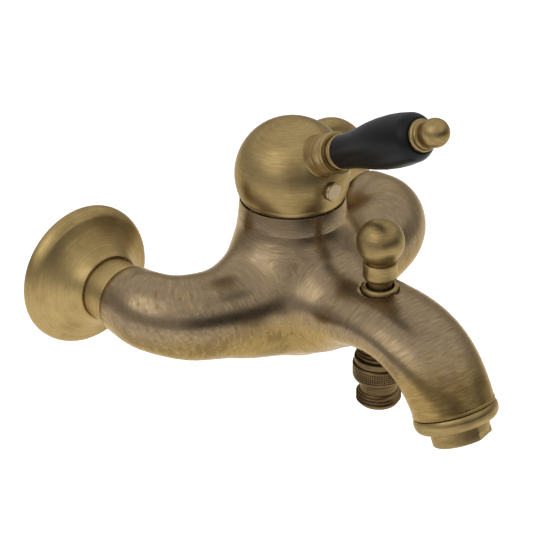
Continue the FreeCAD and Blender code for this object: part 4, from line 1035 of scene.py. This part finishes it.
@dataclass
class Cap:
    """Ball cap's trim: closing ring, hub lip and the plug over the grub screw."""

    fitter: Fitter
    ball: float = 26.7
    ring_top: float = 8.75
    ring_seat: float = 10.7
    ring_foot: float = 11.5
    ring_bore: float = 21.6
    band_wall: float = 0.63
    spigot_top: float = 7.0
    spigot: float = 24.6
    spigot_wall: float = 1.2
    hub: float = 9.2
    skirt_foot: float = 10.1
    skirt_top: float = 9.55
    skirt_height: float = 26.9
    skirt_bend: float = 0.12
    skirt_sink: float = 0.05
    skirt_root: float = 1.2
    skirt_turns: int = 12
    lever_root: float = 5.3
    lip: float = 9.62
    lip_bore: float = 7.65
    lip_start: float = 31.8
    lip_end: float = 34.2
    plug: float = 4.35
    plug_seat: float = 26.3
    plug_top: float = 28.7
    plug_crown: float = 40.0
    plug_stem: float = 3.0
    plug_stem_end: float = 20.5
    hub_brass: Brass = Brass("hub_brass", LEVER, golden=(0.42, 0.31, 0.135), deep=(0.32, 0.225, 0.09),
                             pale=(0.5, 0.385, 0.19))
    plug_brass: Brass = Brass("plug_brass", CAP_FRONT, golden=(0.36, 0.28, 0.165), deep=(0.3, 0.225, 0.125),
                              pale=(0.42, 0.34, 0.22))

    def wide(self, drop: float, radius: float | None = None) -> float:
        """Give the radius of the ball, or of a larger or smaller one, this far below its middle."""
        return math.sqrt((radius or self.ball) ** 2 - drop ** 2)

    def high(self, size: float, angle: float) -> float:
        """Give the ball's height on the lever's axes, at a radius and an angle round them."""
        ahead = self.lever_root * math.cos(math.radians(LEVER.turn))
        aside = self.lever_root * math.sin(math.radians(LEVER.turn))
        across = size ** 2 + aside ** 2 + 2 * size * aside * math.sin(angle)
        return math.sqrt(self.ball ** 2 - across) - ahead

    def skirt(self) -> bpy.types.Object:
        """Model the soft flare between ball and hub: a turned ring bent onto the ball.

        Returns:
            The ring in place.
        """
        turns, foot, top, bore = self.skirt_turns, self.skirt_foot, self.skirt_top, self.hub - 0.6
        rise = (foot - top) / turns
        ring = Bench.lathe("hub_flare", [(foot - rise * step, float(step)) for step in range(turns + 1)]
                           + [(bore, float(turns)), (bore, -1.0), (foot - 1.0, -1.0)])
        for vertex in ring.data.vertices:
            place = vertex.co / MM
            radius, angle = math.hypot(place.x, place.y), math.atan2(place.y, place.x)
            if place.z < -0.5:
                spot = Vector((radius, self.high(radius, angle) - self.skirt_root))
            elif radius < top - 0.1:
                spot = Vector((radius, self.skirt_height))
            else:
                bend = top + self.skirt_bend
                spots = (Vector((foot, self.high(foot, angle) - self.skirt_sink)),
                         Vector((bend, self.high(bend, angle) + self.skirt_bend)),
                         Vector((top, self.skirt_height)))
                share = max(place.z, 0.0) / turns
                spot = (spots[0] * (1 - share) ** 2 + spots[1] * 2 * share * (1 - share)
                        + spots[2] * share ** 2)
            vertex.co = Vector((spot.x * math.cos(angle), spot.x * math.sin(angle), spot.y)) * MM
        Bench.soften(ring, 0.2, 3, 40.0)
        Bench.settle(ring, LEVER, 45.0)
        return ring

    def build(self) -> None:
        """Model the trim."""
        ring_z, band_z, foot = -self.ring_top, -self.ring_top - 0.2, self.wide(self.ring_foot)
        lip, shoulder = self.wide(self.ring_top), ring_z + 0.12
        self.fitter.turned("cap_band", [
            (self.ring_bore, -self.ring_seat), (foot - self.band_wall - 0.12, -self.ring_seat),
            (foot - self.band_wall - 0.12, -self.ring_foot), (foot - 0.12, -self.ring_foot),
            (lip - 0.55, band_z, self.ball), (lip - 1.0, band_z), (lip - 1.0, shoulder),
            (self.wide(self.ring_top, self.spigot), shoulder),
            (self.wide(self.spigot_top, self.spigot), -self.spigot_top),
            (self.wide(self.spigot_top, self.spigot) - self.spigot_wall, -self.spigot_top),
            (self.ring_bore, ring_z),
        ], CAP, CAP_BRASS, "cap_ring", body="lever", edge=0.16)
        hub, start, end, sleeve = self.hub, self.lip_start, self.lip_end, self.skirt_height - 0.2
        self.fitter.turned("hub_lip", [
            (hub - 0.25, sleeve), (hub + 0.12, sleeve), (hub + 0.12, start - 0.3), (hub - 0.02, start - 0.3),
            (hub - 0.02, start), (self.lip, start), (self.lip, end), (self.lip_bore, end),
            (self.lip_bore, end - 0.2), (hub - 0.25, end - 0.2),
        ], LEVER, self.hub_brass, body="lever", edge=0.22, segments=3)
        self.fitter.fit(self.skirt(), "lever", "antique_brass", CAP_BRASS)
        stem, plug, seat, top = self.plug_stem, self.plug, self.plug_seat, self.plug_top
        self.fitter.turned("plug_button", [
            (0.0, self.plug_stem_end), (stem, self.plug_stem_end), (stem, seat), (plug - 0.5, seat),
            (plug - 0.5, seat + 0.5), (plug, seat + 0.5), (plug, top - 0.6), (plug - 0.7, top - 0.12, 0.7),
            (0.0, top, self.plug_crown),
        ], CAP_FRONT, self.plug_brass, "index_plug", body="lever", edge=0.08, steps=64)


@dataclass
class LeverArm:
    """Everything on the lever's rod: collar, black handle, ferrule and ball."""

    fitter: Fitter
    bore: float = 3.05
    collar: float = 8.1
    collar_neck: float = 7.4
    collar_groove: float = 7.15
    collar_start: float = 32.0
    handle_start: float = 37.8
    handle_end: float = 90.3
    grip_foot: float = 7.8
    grip_waist: float = 9.1
    grip_belly: float = 11.65
    grip_shoulder: float = 10.7
    grip_tip: float = 7.9
    ferrule: float = 7.1
    ferrule_foot: float = 6.7
    ferrule_neck: float = 5.75
    ferrule_groove: float = 5.45
    ferrule_end: float = 94.3
    ball_at: float = 99.395
    ball: float = 6.3
    ball_foot: float = 4.7
    rod_end: float = 97.65

    def build(self) -> None:
        """Model the pieces of the lever."""
        brass = Brass("lever_brass", LEVER)
        bore, start, first, last, end = (self.bore, self.collar_start, self.handle_start, self.handle_end,
                                         self.ferrule_end)
        self.fitter.turned("collar_ring", [
            (bore, start), (self.collar_neck, start), (self.collar_neck, start + 3.5),
            (self.collar_groove, start + 3.7), (self.collar_groove, start + 4.2),
            (self.collar - 0.5, start + 4.4), (self.collar, start + 4.9, 0.6), (self.collar, first - 0.35),
            (self.collar - 0.4, first), (bore, first),
        ], LEVER, brass, "lever_collar", body="lever")
        self.fitter.turned("grip", [
            (bore, first), (self.grip_foot - 0.8, first), (self.grip_foot, first + 0.8, 0.8),
            (self.grip_waist, first + 13.8, -80.0), (self.grip_belly, first + 36.0, 100.0),
            (self.grip_shoulder, first + 48.4, 81.0), (self.grip_tip, last, 7.0), (bore, last),
        ], LEVER, BLACK_GRIP, "lever_handle", body="lever", slot="black_handle", edge=0.3, segments=3,
            steps=ROUND_STEPS + 32, smooth=60.0)
        self.fitter.turned("ferrule_step", [
            (bore, last), (self.ferrule_foot, last), (self.ferrule, last + 0.45), (self.ferrule, last + 1.75),
            (self.ferrule_foot, last + 2.2), (self.ferrule_neck, last + 2.35),
            (self.ferrule_groove, last + 2.75), (self.ferrule_groove, last + 3.2),
            (self.ferrule_neck, last + 3.5), (self.ferrule_neck, end), (bore, end),
        ], LEVER, brass, "handle_ferrule", body="lever", edge=0.1)
        foot_reach = math.sqrt(self.ball ** 2 - self.ball_foot ** 2)
        self.fitter.turned("finial_ball", [
            (0.0, self.rod_end), (bore, self.rod_end), (bore, end), (self.ball_foot, end),
            (self.ball_foot, self.ball_at - foot_reach), (self.ball, self.ball_at, self.ball),
            (0.0, self.ball_at + self.ball, self.ball),
        ], LEVER, brass, "lever_finial", body="lever")


@dataclass
class DiverterKnob:
    """The pull knob on the spout and the bushing that its neck dips into."""

    fitter: Fitter
    bore: float = 2.65
    ball: float = 10.8
    ball_z: float = 36.6
    ball_foot: float = 8.6
    collar: float = 7.75
    collar_top: float = 27.2
    collar_foot: float = 18.3
    neck: float = 5.6
    neck_foot: float = 9.7
    spindle_top: float = 25.05
    seat: float = 7.6
    seat_foot: float = 6.6
    seat_top: float = 11.0
    bead: float = 8.3
    bead_mouth: float = 6.3
    seal: float = 4.35
    seal_low: float = 7.3
    seal_high: float = 8.7
    well_floor: float = 9.4

    def build(self) -> None:
        """Model the knob and the bushing."""
        brass = Brass("knob_brass", DIVERTER)
        bore, neck, collar, foot, top = self.bore, self.neck, self.collar, self.collar_foot, self.collar_top
        waist = math.sqrt(self.ball ** 2 - self.ball_foot ** 2) - 0.5
        self.fitter.turned("pull_knob", [
            (0.0, self.spindle_top), (bore, self.spindle_top), (bore, self.neck_foot), (neck, self.neck_foot),
            (neck, foot), (neck + 0.5, foot + 0.15), (collar, foot + 2.6, 2.5), (collar, top - 0.6),
            (collar - 0.6, top, 0.6), (waist, top), (waist, self.ball_z - self.ball_foot),
            (self.ball, self.ball_z, self.ball), (0.0, self.ball_z + self.ball, self.ball),
        ], DIVERTER, brass, "diverter_knob", body="diverter")
        seat, bead, mouth, lip = self.seat, self.bead, self.bead_mouth, self.seat_top
        self.fitter.turned("knob_bushing", [
            (bore, self.seat_foot), (seat, self.seat_foot), (seat, lip), (bead - 0.05, lip),
            (bead, lip + 2.9), (bead - 0.6, lip + 4.1, 1.3), (mouth + 0.6, lip + 4.4, 1.5),
            (mouth, lip + 3.8, 0.7), (mouth, self.well_floor), (bore, self.well_floor),
            (bore, self.seal_high), (self.seal, self.seal_high), (self.seal, self.seal_low),
            (bore, self.seal_low),
        ], DIVERTER, brass, "diverter_bushing")


@dataclass
class ShowerOutlet:
    """Threaded nipple, knurled coupling and threaded tail below the spout."""

    fitter: Fitter
    # The outlet's brass is much darker than the rest. Part of this is a dark patina, and part is painted
    # shade for where the outlet hangs under the spout.
    brass: Brass = Brass("outlet_brass_patina_and_painted_shade", DIVERTER, golden=(0.155, 0.102, 0.04), deep=(0.065, 0.04, 0.016),
                         pale=(0.27, 0.185, 0.075))
    crest: float = 10.46
    root: float = 9.35
    pitch: float = 1.814
    nipple_bore: float = 7.0
    nipple_top: float = -10.4
    thread_end: float = -20.8
    band: float = 11.3
    band_end: float = -24.0
    tip: float = 10.6
    tip_end: float = -27.4
    coupling: float = 12.1
    knurl_end: float = -31.0
    coupling_end: float = -33.4
    tail_neck: float = 8.5
    tail_flange: float = 10.4
    tail_flange_depth: float = 1.8
    seal: float = 1.4
    tail_bore: float = 6.3
    tail_thread_top: float = -38.4
    tail_end: float = -45.5
    knurl_columns: int = 72
    knurl_rows: int = 5
    knurl_depth: float = 0.42
    knurl_land: float = 0.17
    knurl_slope: float = 0.19
    thread_steps: int = 72
    thread_flank: float = 0.92
    thread_shoulder: float = 0.24
    thread_flat: float = 0.1
    thread_round: float = 0.14
    thread_sink: float = 0.1
    runout: int = 14
    runout_sink: float = 0.25

    def thread(self, name: str, low: float, high: float) -> bpy.types.Object:
        """Wind a thread ridge between two heights.

        Args:
            name: the piece's name.
            low: the lower end in millimetres.
            high: the upper end in millimetres.

        Returns:
            The ridge on the stand's axes.
        """
        half, root = self.pitch / 2, self.root - self.thread_sink
        turns = (high - low - self.pitch) / self.pitch
        corners = [(root, -self.thread_flank), (self.crest - self.thread_round, -self.thread_shoulder),
                   (self.crest, -self.thread_flat), (self.crest, self.thread_flat),
                   (self.crest - self.thread_round, self.thread_shoulder), (root, self.thread_flank)]
        ridge = Bench.wire(name, [Vector((radius, 0, low + half + half * height)) * MM
                                  for radius, height in corners], True)
        Bench.close()
        steps = round(self.thread_steps * turns)
        Bench.modify(ridge, "SCREW", angle=FULL_TURN * turns, screw_offset=turns * self.pitch * MM,
                     steps=steps, render_steps=steps, axis="Z", use_merge_vertices=False)
        count = len(corners)
        total = len(ridge.data.vertices) // count
        low_end = self.root - self.runout_sink
        for ring in range(self.runout):
            shrink = (low_end + (self.crest - low_end) * ring / self.runout) / self.crest
            for first in (ring * count, (total - 1 - ring) * count):
                wanted = set(range(first, first + count))
                Bench.choose(ridge, "VERT", lambda vertex: vertex.index in wanted)
                bpy.ops.transform.resize(value=(shrink, shrink, 1), center_override=(0, 0, 0))
                Bench.close()
        Bench.open(ridge)
        bpy.ops.mesh.select_all(action="SELECT")
        bpy.ops.mesh.fill_holes(sides=count)
        bpy.ops.mesh.normals_make_consistent(inside=False)
        Bench.close()
        return ridge

    def knurl(self) -> bpy.types.Object:
        """Cut the square knurl: each cell of a band is inset and pushed in.

        Returns:
            The band on the stand's axes.
        """
        low, high = self.knurl_end + 0.35, self.band_end - 1.15
        band = Bench.start("knurl_band", bpy.ops.mesh.primitive_cylinder_add, vertices=self.knurl_columns,
                           radius=self.coupling * MM, depth=(high - low) * MM, end_fill_type="NOTHING",
                           location=(0, 0, 0))
        Bench.move(band, Stand(z=(high + low) / 2).matrix())
        Bench.open(band)
        for row in range(1, self.knurl_rows):
            height = low + (high - low) * row / self.knurl_rows
            bpy.ops.mesh.select_all(action="SELECT")
            bpy.ops.mesh.bisect(plane_co=(0, 0, height * MM), plane_no=(0, 0, 1))
        bpy.ops.mesh.select_mode(type="FACE")
        bpy.ops.mesh.select_all(action="SELECT")
        bpy.ops.mesh.inset(thickness=self.knurl_land * MM, depth=0, use_individual=True, use_boundary=True)
        bpy.ops.mesh.inset(thickness=self.knurl_slope * MM, depth=-self.knurl_depth * MM, use_individual=True)
        Bench.close()
        return band

    def threaded(self, name: str, outline: Outline, low: float, high: float, node: str) -> None:
        """Turn a core, join a thread to it and fit the two.

        Args:
            name: the piece's name.
            outline: the core's corners, as in Bench.trace.
            low: the thread's lower end in millimetres.
            high: the thread's upper end in millimetres.
            node: the CAD node that it stands for.
        """
        core = Bench.lathe(f"{name}_core", outline, 96)
        Bench.soften(core, 0.12)
        whole = Bench.weld(name, [core, self.thread(f"{name}_ridge", low, high)])
        Bench.settle(whole, DIVERTER)
        self.fitter.fit(whole, "mixer", "antique_brass", self.brass, node)

    def build(self) -> None:
        """Model the three pieces and their threads."""
        bore, tip, band, root = self.nipple_bore, self.tip, self.band, self.root
        self.threaded("nipple_threaded", [
            (bore, self.tip_end), (tip, self.tip_end), (tip, self.band_end), (band, self.band_end),
            (band, self.thread_end - 0.3), (band - 0.5, self.thread_end), (root, self.thread_end),
            (root, self.nipple_top), (bore, self.nipple_top),
        ], self.thread_end - 0.2, self.nipple_top - 0.2, "outlet_nipple")
        seal_low = self.tip_end - self.seal
        flange_low = seal_low - self.tail_flange_depth
        inside, wide, end = self.tail_neck + 0.05, self.coupling, self.coupling_end
        knurl_low, band_end = self.knurl_end, self.band_end
        ring = Bench.lathe("coupling_core", [
            (inside, end), (wide - 2.5, end), (wide - 1.2, end + 0.7, 1.4),
            (wide - 0.1, knurl_low + 0.1, 3.2), (wide - 0.02, knurl_low + 0.35),
            (wide - 0.75, knurl_low + 0.45), (wide - 0.75, band_end - 1.25),
            (wide - 0.02, band_end - 1.15), (wide - 0.02, band_end - 0.7),
            (wide - 0.45, band_end - 0.08, 0.9), (tip + 0.05, band_end - 0.06),
            (tip + 0.05, flange_low), (inside, flange_low),
        ], 144)
        Bench.soften(ring, 0.06)
        coupling = Bench.weld("coupling_knurled", [ring, self.knurl()])
        Bench.settle(coupling, DIVERTER)
        self.fitter.fit(coupling, "mixer", "antique_brass", self.brass, "check_coupling")
        bore, end, top, neck = self.tail_bore, self.tail_end, self.tail_thread_top, self.tail_neck
        self.threaded("tail_threaded", [
            (bore, end), (root - 0.5, end), (root, end + 0.5), (root, top - 0.5), (root - 0.5, top),
            (neck, top), (neck, flange_low), (self.tail_flange, flange_low), (self.tail_flange, seal_low),
            (bore, seal_low),
        ], end + 0.15, top - 0.1, "outlet_tail")


@dataclass
class SpoutMouth:
    """Rounded ring, sleeve with wrench flats and the flow screen at the spout's end."""

    fitter: Fitter
    sleeve: float = 13.5
    sleeve_end: float = -14.5
    sleeve_thread: float = 13.95
    sleeve_top: float = 7.9
    bore: float = 11.2
    lip_bore: float = 10.4
    lip: float = 1.6
    flat: float = 12.0
    flat_height: float = 3.0
    flat_turn: float = 20.0
    ring: float = 19.12
    ring_shoulder: float = 18.4
    ring_seat: float = 16.9
    ring_top: float = -0.5
    ring_foot: float = -7.1
    screen: float = 9.5
    screen_z: float = -11.25
    screen_cells: int = 27
    screen_wire: float = 0.2

    def sleeve_piece(self) -> bpy.types.Object:
        """Turn the sleeve and press its two wrench flats.

        Returns:
            The sleeve in place.
        """
        sleeve, low, bore = self.sleeve, self.sleeve_end, self.lip_bore
        top, lip = low + self.flat_height, low + self.lip
        piece = Bench.lathe("mouth_sleeve", [
            (bore, low), (sleeve - 0.3, low), (sleeve, low + 0.3), (sleeve, top), (sleeve, top + 0.04),
            (sleeve, self.ring_top), (self.sleeve_thread, self.ring_top + 0.05),
            (self.sleeve_thread, self.sleeve_top), (self.bore, self.sleeve_top), (self.bore, lip),
            (bore, lip),
        ], 144)
        for side in (1, -1):
            Bench.choose(piece, "VERT", lambda vertex: vertex.co.y * side > self.flat * MM
                         and vertex.co.z < (top + 0.02) * MM)
            bpy.ops.transform.resize(value=(1, 0, 1), center_override=(0, self.flat * MM * side, 0))
            Bench.close()
        Bench.move(piece, Matrix.Rotation(math.radians(self.flat_turn), 4, "Z"))
        Bench.soften(piece, 0.06)
        Bench.settle(piece, MOUTH)
        return piece

    def screen_piece(self) -> bpy.types.Object:
        """Weave the flow screen from a grid that is cut round.

        Returns:
            The screen in place.
        """
        piece = Bench.start("flow_screen", bpy.ops.mesh.primitive_grid_add, x_subdivisions=self.screen_cells,
                            y_subdivisions=self.screen_cells, size=2 * self.screen * MM, location=(0, 0, 0))
        Bench.move(piece, Stand(z=self.screen_z).matrix())
        Bench.choose(piece, "FACE", lambda face: face.center.xy.length > (self.screen - 0.2) * MM)
        bpy.ops.mesh.delete(type="FACE")
        Bench.close()
        Bench.modify(piece, "WIREFRAME", thickness=self.screen_wire * MM, use_even_offset=False)
        Bench.settle(piece, MOUTH)
        return piece

    def build(self) -> None:
        """Model the mouth."""
        brass = Brass("mouth_brass", MOUTH)
        inside, foot, seat = self.sleeve + 0.05, self.ring_foot, self.ring_seat
        self.fitter.turned("mouth_ring", [
            (inside, foot), (seat, foot), (seat + 1.0, foot + 0.45, 1.3), (self.ring, foot + 2.9, 3.6),
            (self.ring_shoulder, self.ring_top, 4.2), (inside, self.ring_top),
        ], MOUTH, brass, "spout_ring", steps=ROUND_STEPS + 16)
        self.fitter.fit(self.sleeve_piece(), "mixer", "antique_brass", brass, "aerator_housing")
        self.fitter.fit(self.screen_piece(), "mixer", "screen", SCREEN_STEEL, "aerator_screen")


@dataclass(frozen=True)
class Lamp:
    """A soft lamp: its place and its width and height in metres, and its power in watts."""

    name: str
    place: Point
    size: tuple[float, float]
    power: float
    mirrored: bool = True


@dataclass
class Studio:
    """White backdrop, pale floor, soft lamps, dim screens and the camera of the photograph."""

    target: Point = (-0.02934, -0.080, 0.0181)
    distance: float = 0.8
    azimuth: float = 40.34
    elevation: float = 28.22
    roll: float = -1.23
    lens: float = 119.4
    floor_height: float = -0.30
    floor_colour: Colour = (0.82, 0.82, 0.82)
    floor_glow: float = 0.62
    backdrop: Colour = (1.0, 1.0, 1.0)
    daylight: Colour = (0.55, 0.55, 0.56)
    lamps: tuple[Lamp, ...] = (Lamp("key", (-0.5, -0.5, 1.9), (2.0, 2.0), 20.0, mirrored=False),
                               Lamp("side", (-1.25, -0.1, 1.15), (1.3, 1.2), 4.9))
    band_radius: float = 1.8
    band_height: float = 1.6
    band_middle: float = 0.27
    band_front: float = 9.0
    band_dark: Colour = (0.02, 0.016, 0.018)
    band_side: Colour = (0.5, 0.49, 0.5)
    band_edge: Colour = (0.92, 0.92, 0.92)
    band_facing: tuple[float, float] = (0.57, 0.92)
    band_fade: tuple[float, float] = (0.19, 0.41)

    def camera(self) -> None:
        """Place the camera."""
        azimuth, elevation = math.radians(self.azimuth), math.radians(self.elevation)
        back = Vector((-math.sin(azimuth) * math.cos(elevation),
                       -math.cos(azimuth) * math.cos(elevation), math.sin(elevation)))
        right = Vector((math.cos(azimuth), -math.sin(azimuth), 0))
        up = back.cross(right)
        roll = math.radians(self.roll)
        turned_right = right * math.cos(roll) + up * math.sin(roll)
        turned_up = up * math.cos(roll) - right * math.sin(roll)
        data = bpy.data.cameras.new("camera")
        data.lens = self.lens
        data.sensor_width = 36.0
        data.clip_start, data.clip_end = 0.01, 20.0
        camera = bpy.data.objects.new("camera", data)
        bpy.context.scene.collection.objects.link(camera)
        turn = Matrix((turned_right, turned_up, back)).transposed()
        camera.matrix_world = Matrix.Translation(Vector(self.target) + back * self.distance) @ turn.to_4x4()
        bpy.context.scene.camera = camera

    def hang(self, lamp: Lamp) -> None:
        """Add an area lamp that faces the mixer."""
        data = bpy.data.lights.new(lamp.name, "AREA")
        data.shape = "RECTANGLE"
        data.size, data.size_y = lamp.size
        data.energy = lamp.power
        piece = bpy.data.objects.new(lamp.name, data)
        bpy.context.scene.collection.objects.link(piece)
        piece.location = lamp.place
        piece.rotation_mode = "QUATERNION"
        piece.rotation_quaternion = (Vector(self.target) - Vector(lamp.place)).to_track_quat("-Z", "Y")
        piece.visible_glossy = lamp.mirrored

    def seen(self, tree: bpy.types.NodeTree) -> bpy.types.NodeSocket:
        """Give 1 for the rays that look at the background: camera, glossy and transmission.

        Args:
            tree: the node tree that gets the nodes.

        Returns:
            The socket with 1 or 0.
        """
        path = tree.nodes.new("ShaderNodeLightPath")
        socket = path.outputs["Is Camera Ray"]
        for name in ("Is Glossy Ray", "Is Transmission Ray"):
            either = tree.nodes.new("ShaderNodeMath")
            either.operation = "MAXIMUM"
            tree.links.new(socket, either.inputs[0])
            tree.links.new(path.outputs[name], either.inputs[1])
            socket = either.outputs[0]
        return socket

    def floor(self) -> None:
        """Lay the pale floor: white to the eye, yet it takes the shadow."""
        plane = Bench.start("floor", bpy.ops.mesh.primitive_plane_add, size=8,
                            location=(0, 0, self.floor_height))
        sheet = NodeSheet("floor_white")
        for name, value in (("Base Color", self.floor_colour), ("Roughness", 0.95),
                            ("Specular IOR Level", 0.0)):
            sheet.feed(value, sheet.shader.inputs[name])
        glow = sheet.add("ShaderNodeEmission", in_Strength=self.floor_glow)
        lit = sheet.add("ShaderNodeAddShader")
        blend = sheet.add("ShaderNodeMixShader")
        sheet.join(sheet.shader.outputs["BSDF"], lit.inputs[0])
        sheet.join(glow.outputs["Emission"], lit.inputs[1])
        sheet.join(self.seen(sheet.tree), blend.inputs[0])
        sheet.join(sheet.shader.outputs["BSDF"], blend.inputs[1])
        sheet.join(lit.outputs["Shader"], blend.inputs[2])
        sheet.join(blend.outputs["Shader"], sheet.output.inputs["Surface"])
        plane.data.materials.append(sheet.material)

    def screens(self) -> None:
        """Set a dim band round the horizon, darkest at the front, that only reflections see."""
        band = Bench.start("dim_band", bpy.ops.mesh.primitive_cylinder_add, vertices=96,
                           radius=self.band_radius, depth=self.band_height, end_fill_type="NOTHING",
                           location=(0, 0, self.band_middle))
        sheet = NodeSheet(band.name)
        coordinate = sheet.add("ShaderNodeTexCoord").outputs["Object"]
        facing = sheet.add("ShaderNodeVectorMath", operation="DOT_PRODUCT")
        sheet.join(coordinate, facing.inputs[0])
        front = math.radians(self.band_front)
        facing.inputs[1].default_value = Vector((math.sin(front), -math.cos(front), 0)) / self.band_radius
        turned_front = sheet.spread(facing.outputs["Value"], *self.band_facing)
        dim = sheet.mix(turned_front, self.band_side, self.band_dark)
        height = sheet.number("ABSOLUTE", sheet.axes(coordinate)[2])
        low, high = (self.band_height * share for share in self.band_fade)
        shade = sheet.mix(sheet.spread(height, low, high), dim, self.band_edge)
        glow = sheet.add("ShaderNodeEmission")
        sheet.join(shade, glow.inputs["Color"])
        sheet.join(glow.outputs["Emission"], sheet.output.inputs["Surface"])
        band.data.materials.append(sheet.material)
        band.visible_camera = band.visible_diffuse = band.visible_shadow = False
        band.visible_transmission = False

    def world(self) -> None:
        """Make the backdrop white to the eye and softly grey to the object."""
        world = bpy.data.worlds.new("studio")
        bpy.context.scene.world = world
        world.use_nodes = True
        tree = world.node_tree
        colour = tree.nodes.new("ShaderNodeMix")
        colour.data_type = "RGBA"
        colour.inputs[6].default_value = (*self.daylight, 1)
        colour.inputs[7].default_value = (*self.backdrop, 1)
        tree.links.new(self.seen(tree), colour.inputs["Factor"])
        tree.links.new(colour.outputs[2], tree.nodes["Background"].inputs["Color"])

    def build(self) -> None:
        """Set up the whole studio."""
        self.camera()
        self.floor()
        self.world()
        self.screens()
        for lamp in self.lamps:
            self.hang(lamp)
        bpy.context.scene.view_settings.view_transform = "Standard"


INNER_FINISHES = {
    "antique_brass": CAP_BRASS,
    "plain_brass": Brass("plain_brass", pale=(0.80, 0.62, 0.32), golden=(0.72, 0.55, 0.27),
                         deep=(0.58, 0.43, 0.2), coat=0.0),
    "black_handle": BLACK_GRIP,
    "steel": Plain("steel", (0.62, 0.62, 0.62), 0.3, 1.0),
    "rubber": Plain("rubber", (0.03, 0.03, 0.03), 0.7),
    "ceramic": Plain("ceramic", (0.80, 0.79, 0.75), 0.25),
    "cartridge_plastic": Plain("cartridge_plastic", (0.62, 0.62, 0.59), 0.5),
    "valve_plastic": Plain("valve_plastic", (0.72, 0.72, 0.70), 0.45),
    "screen": SCREEN_STEEL,
}


def dress_frame(fitter: Fitter) -> None:
    """Give every CAD node the finish of its slot."""
    for row in frame["record"]["subparts"]:
        node = frame["nodes"][row["node"]]
        node.data.materials.clear()
        node.data.materials.append(fitter.material(INNER_FINISHES[row["material_slot"]]))


def main() -> None:
    """Build the studio, the sub-assemblies and the looks of the frame."""
    logging.basicConfig(level=logging.INFO)
    fitter = Fitter()
    Studio().build()
    dress_frame(fitter)
    for part in (Casting, WallSide, Cap, LeverArm, DiverterKnob, ShowerOutlet, SpoutMouth):
        part(fitter).build()


if __name__ == "__main__":
    main()
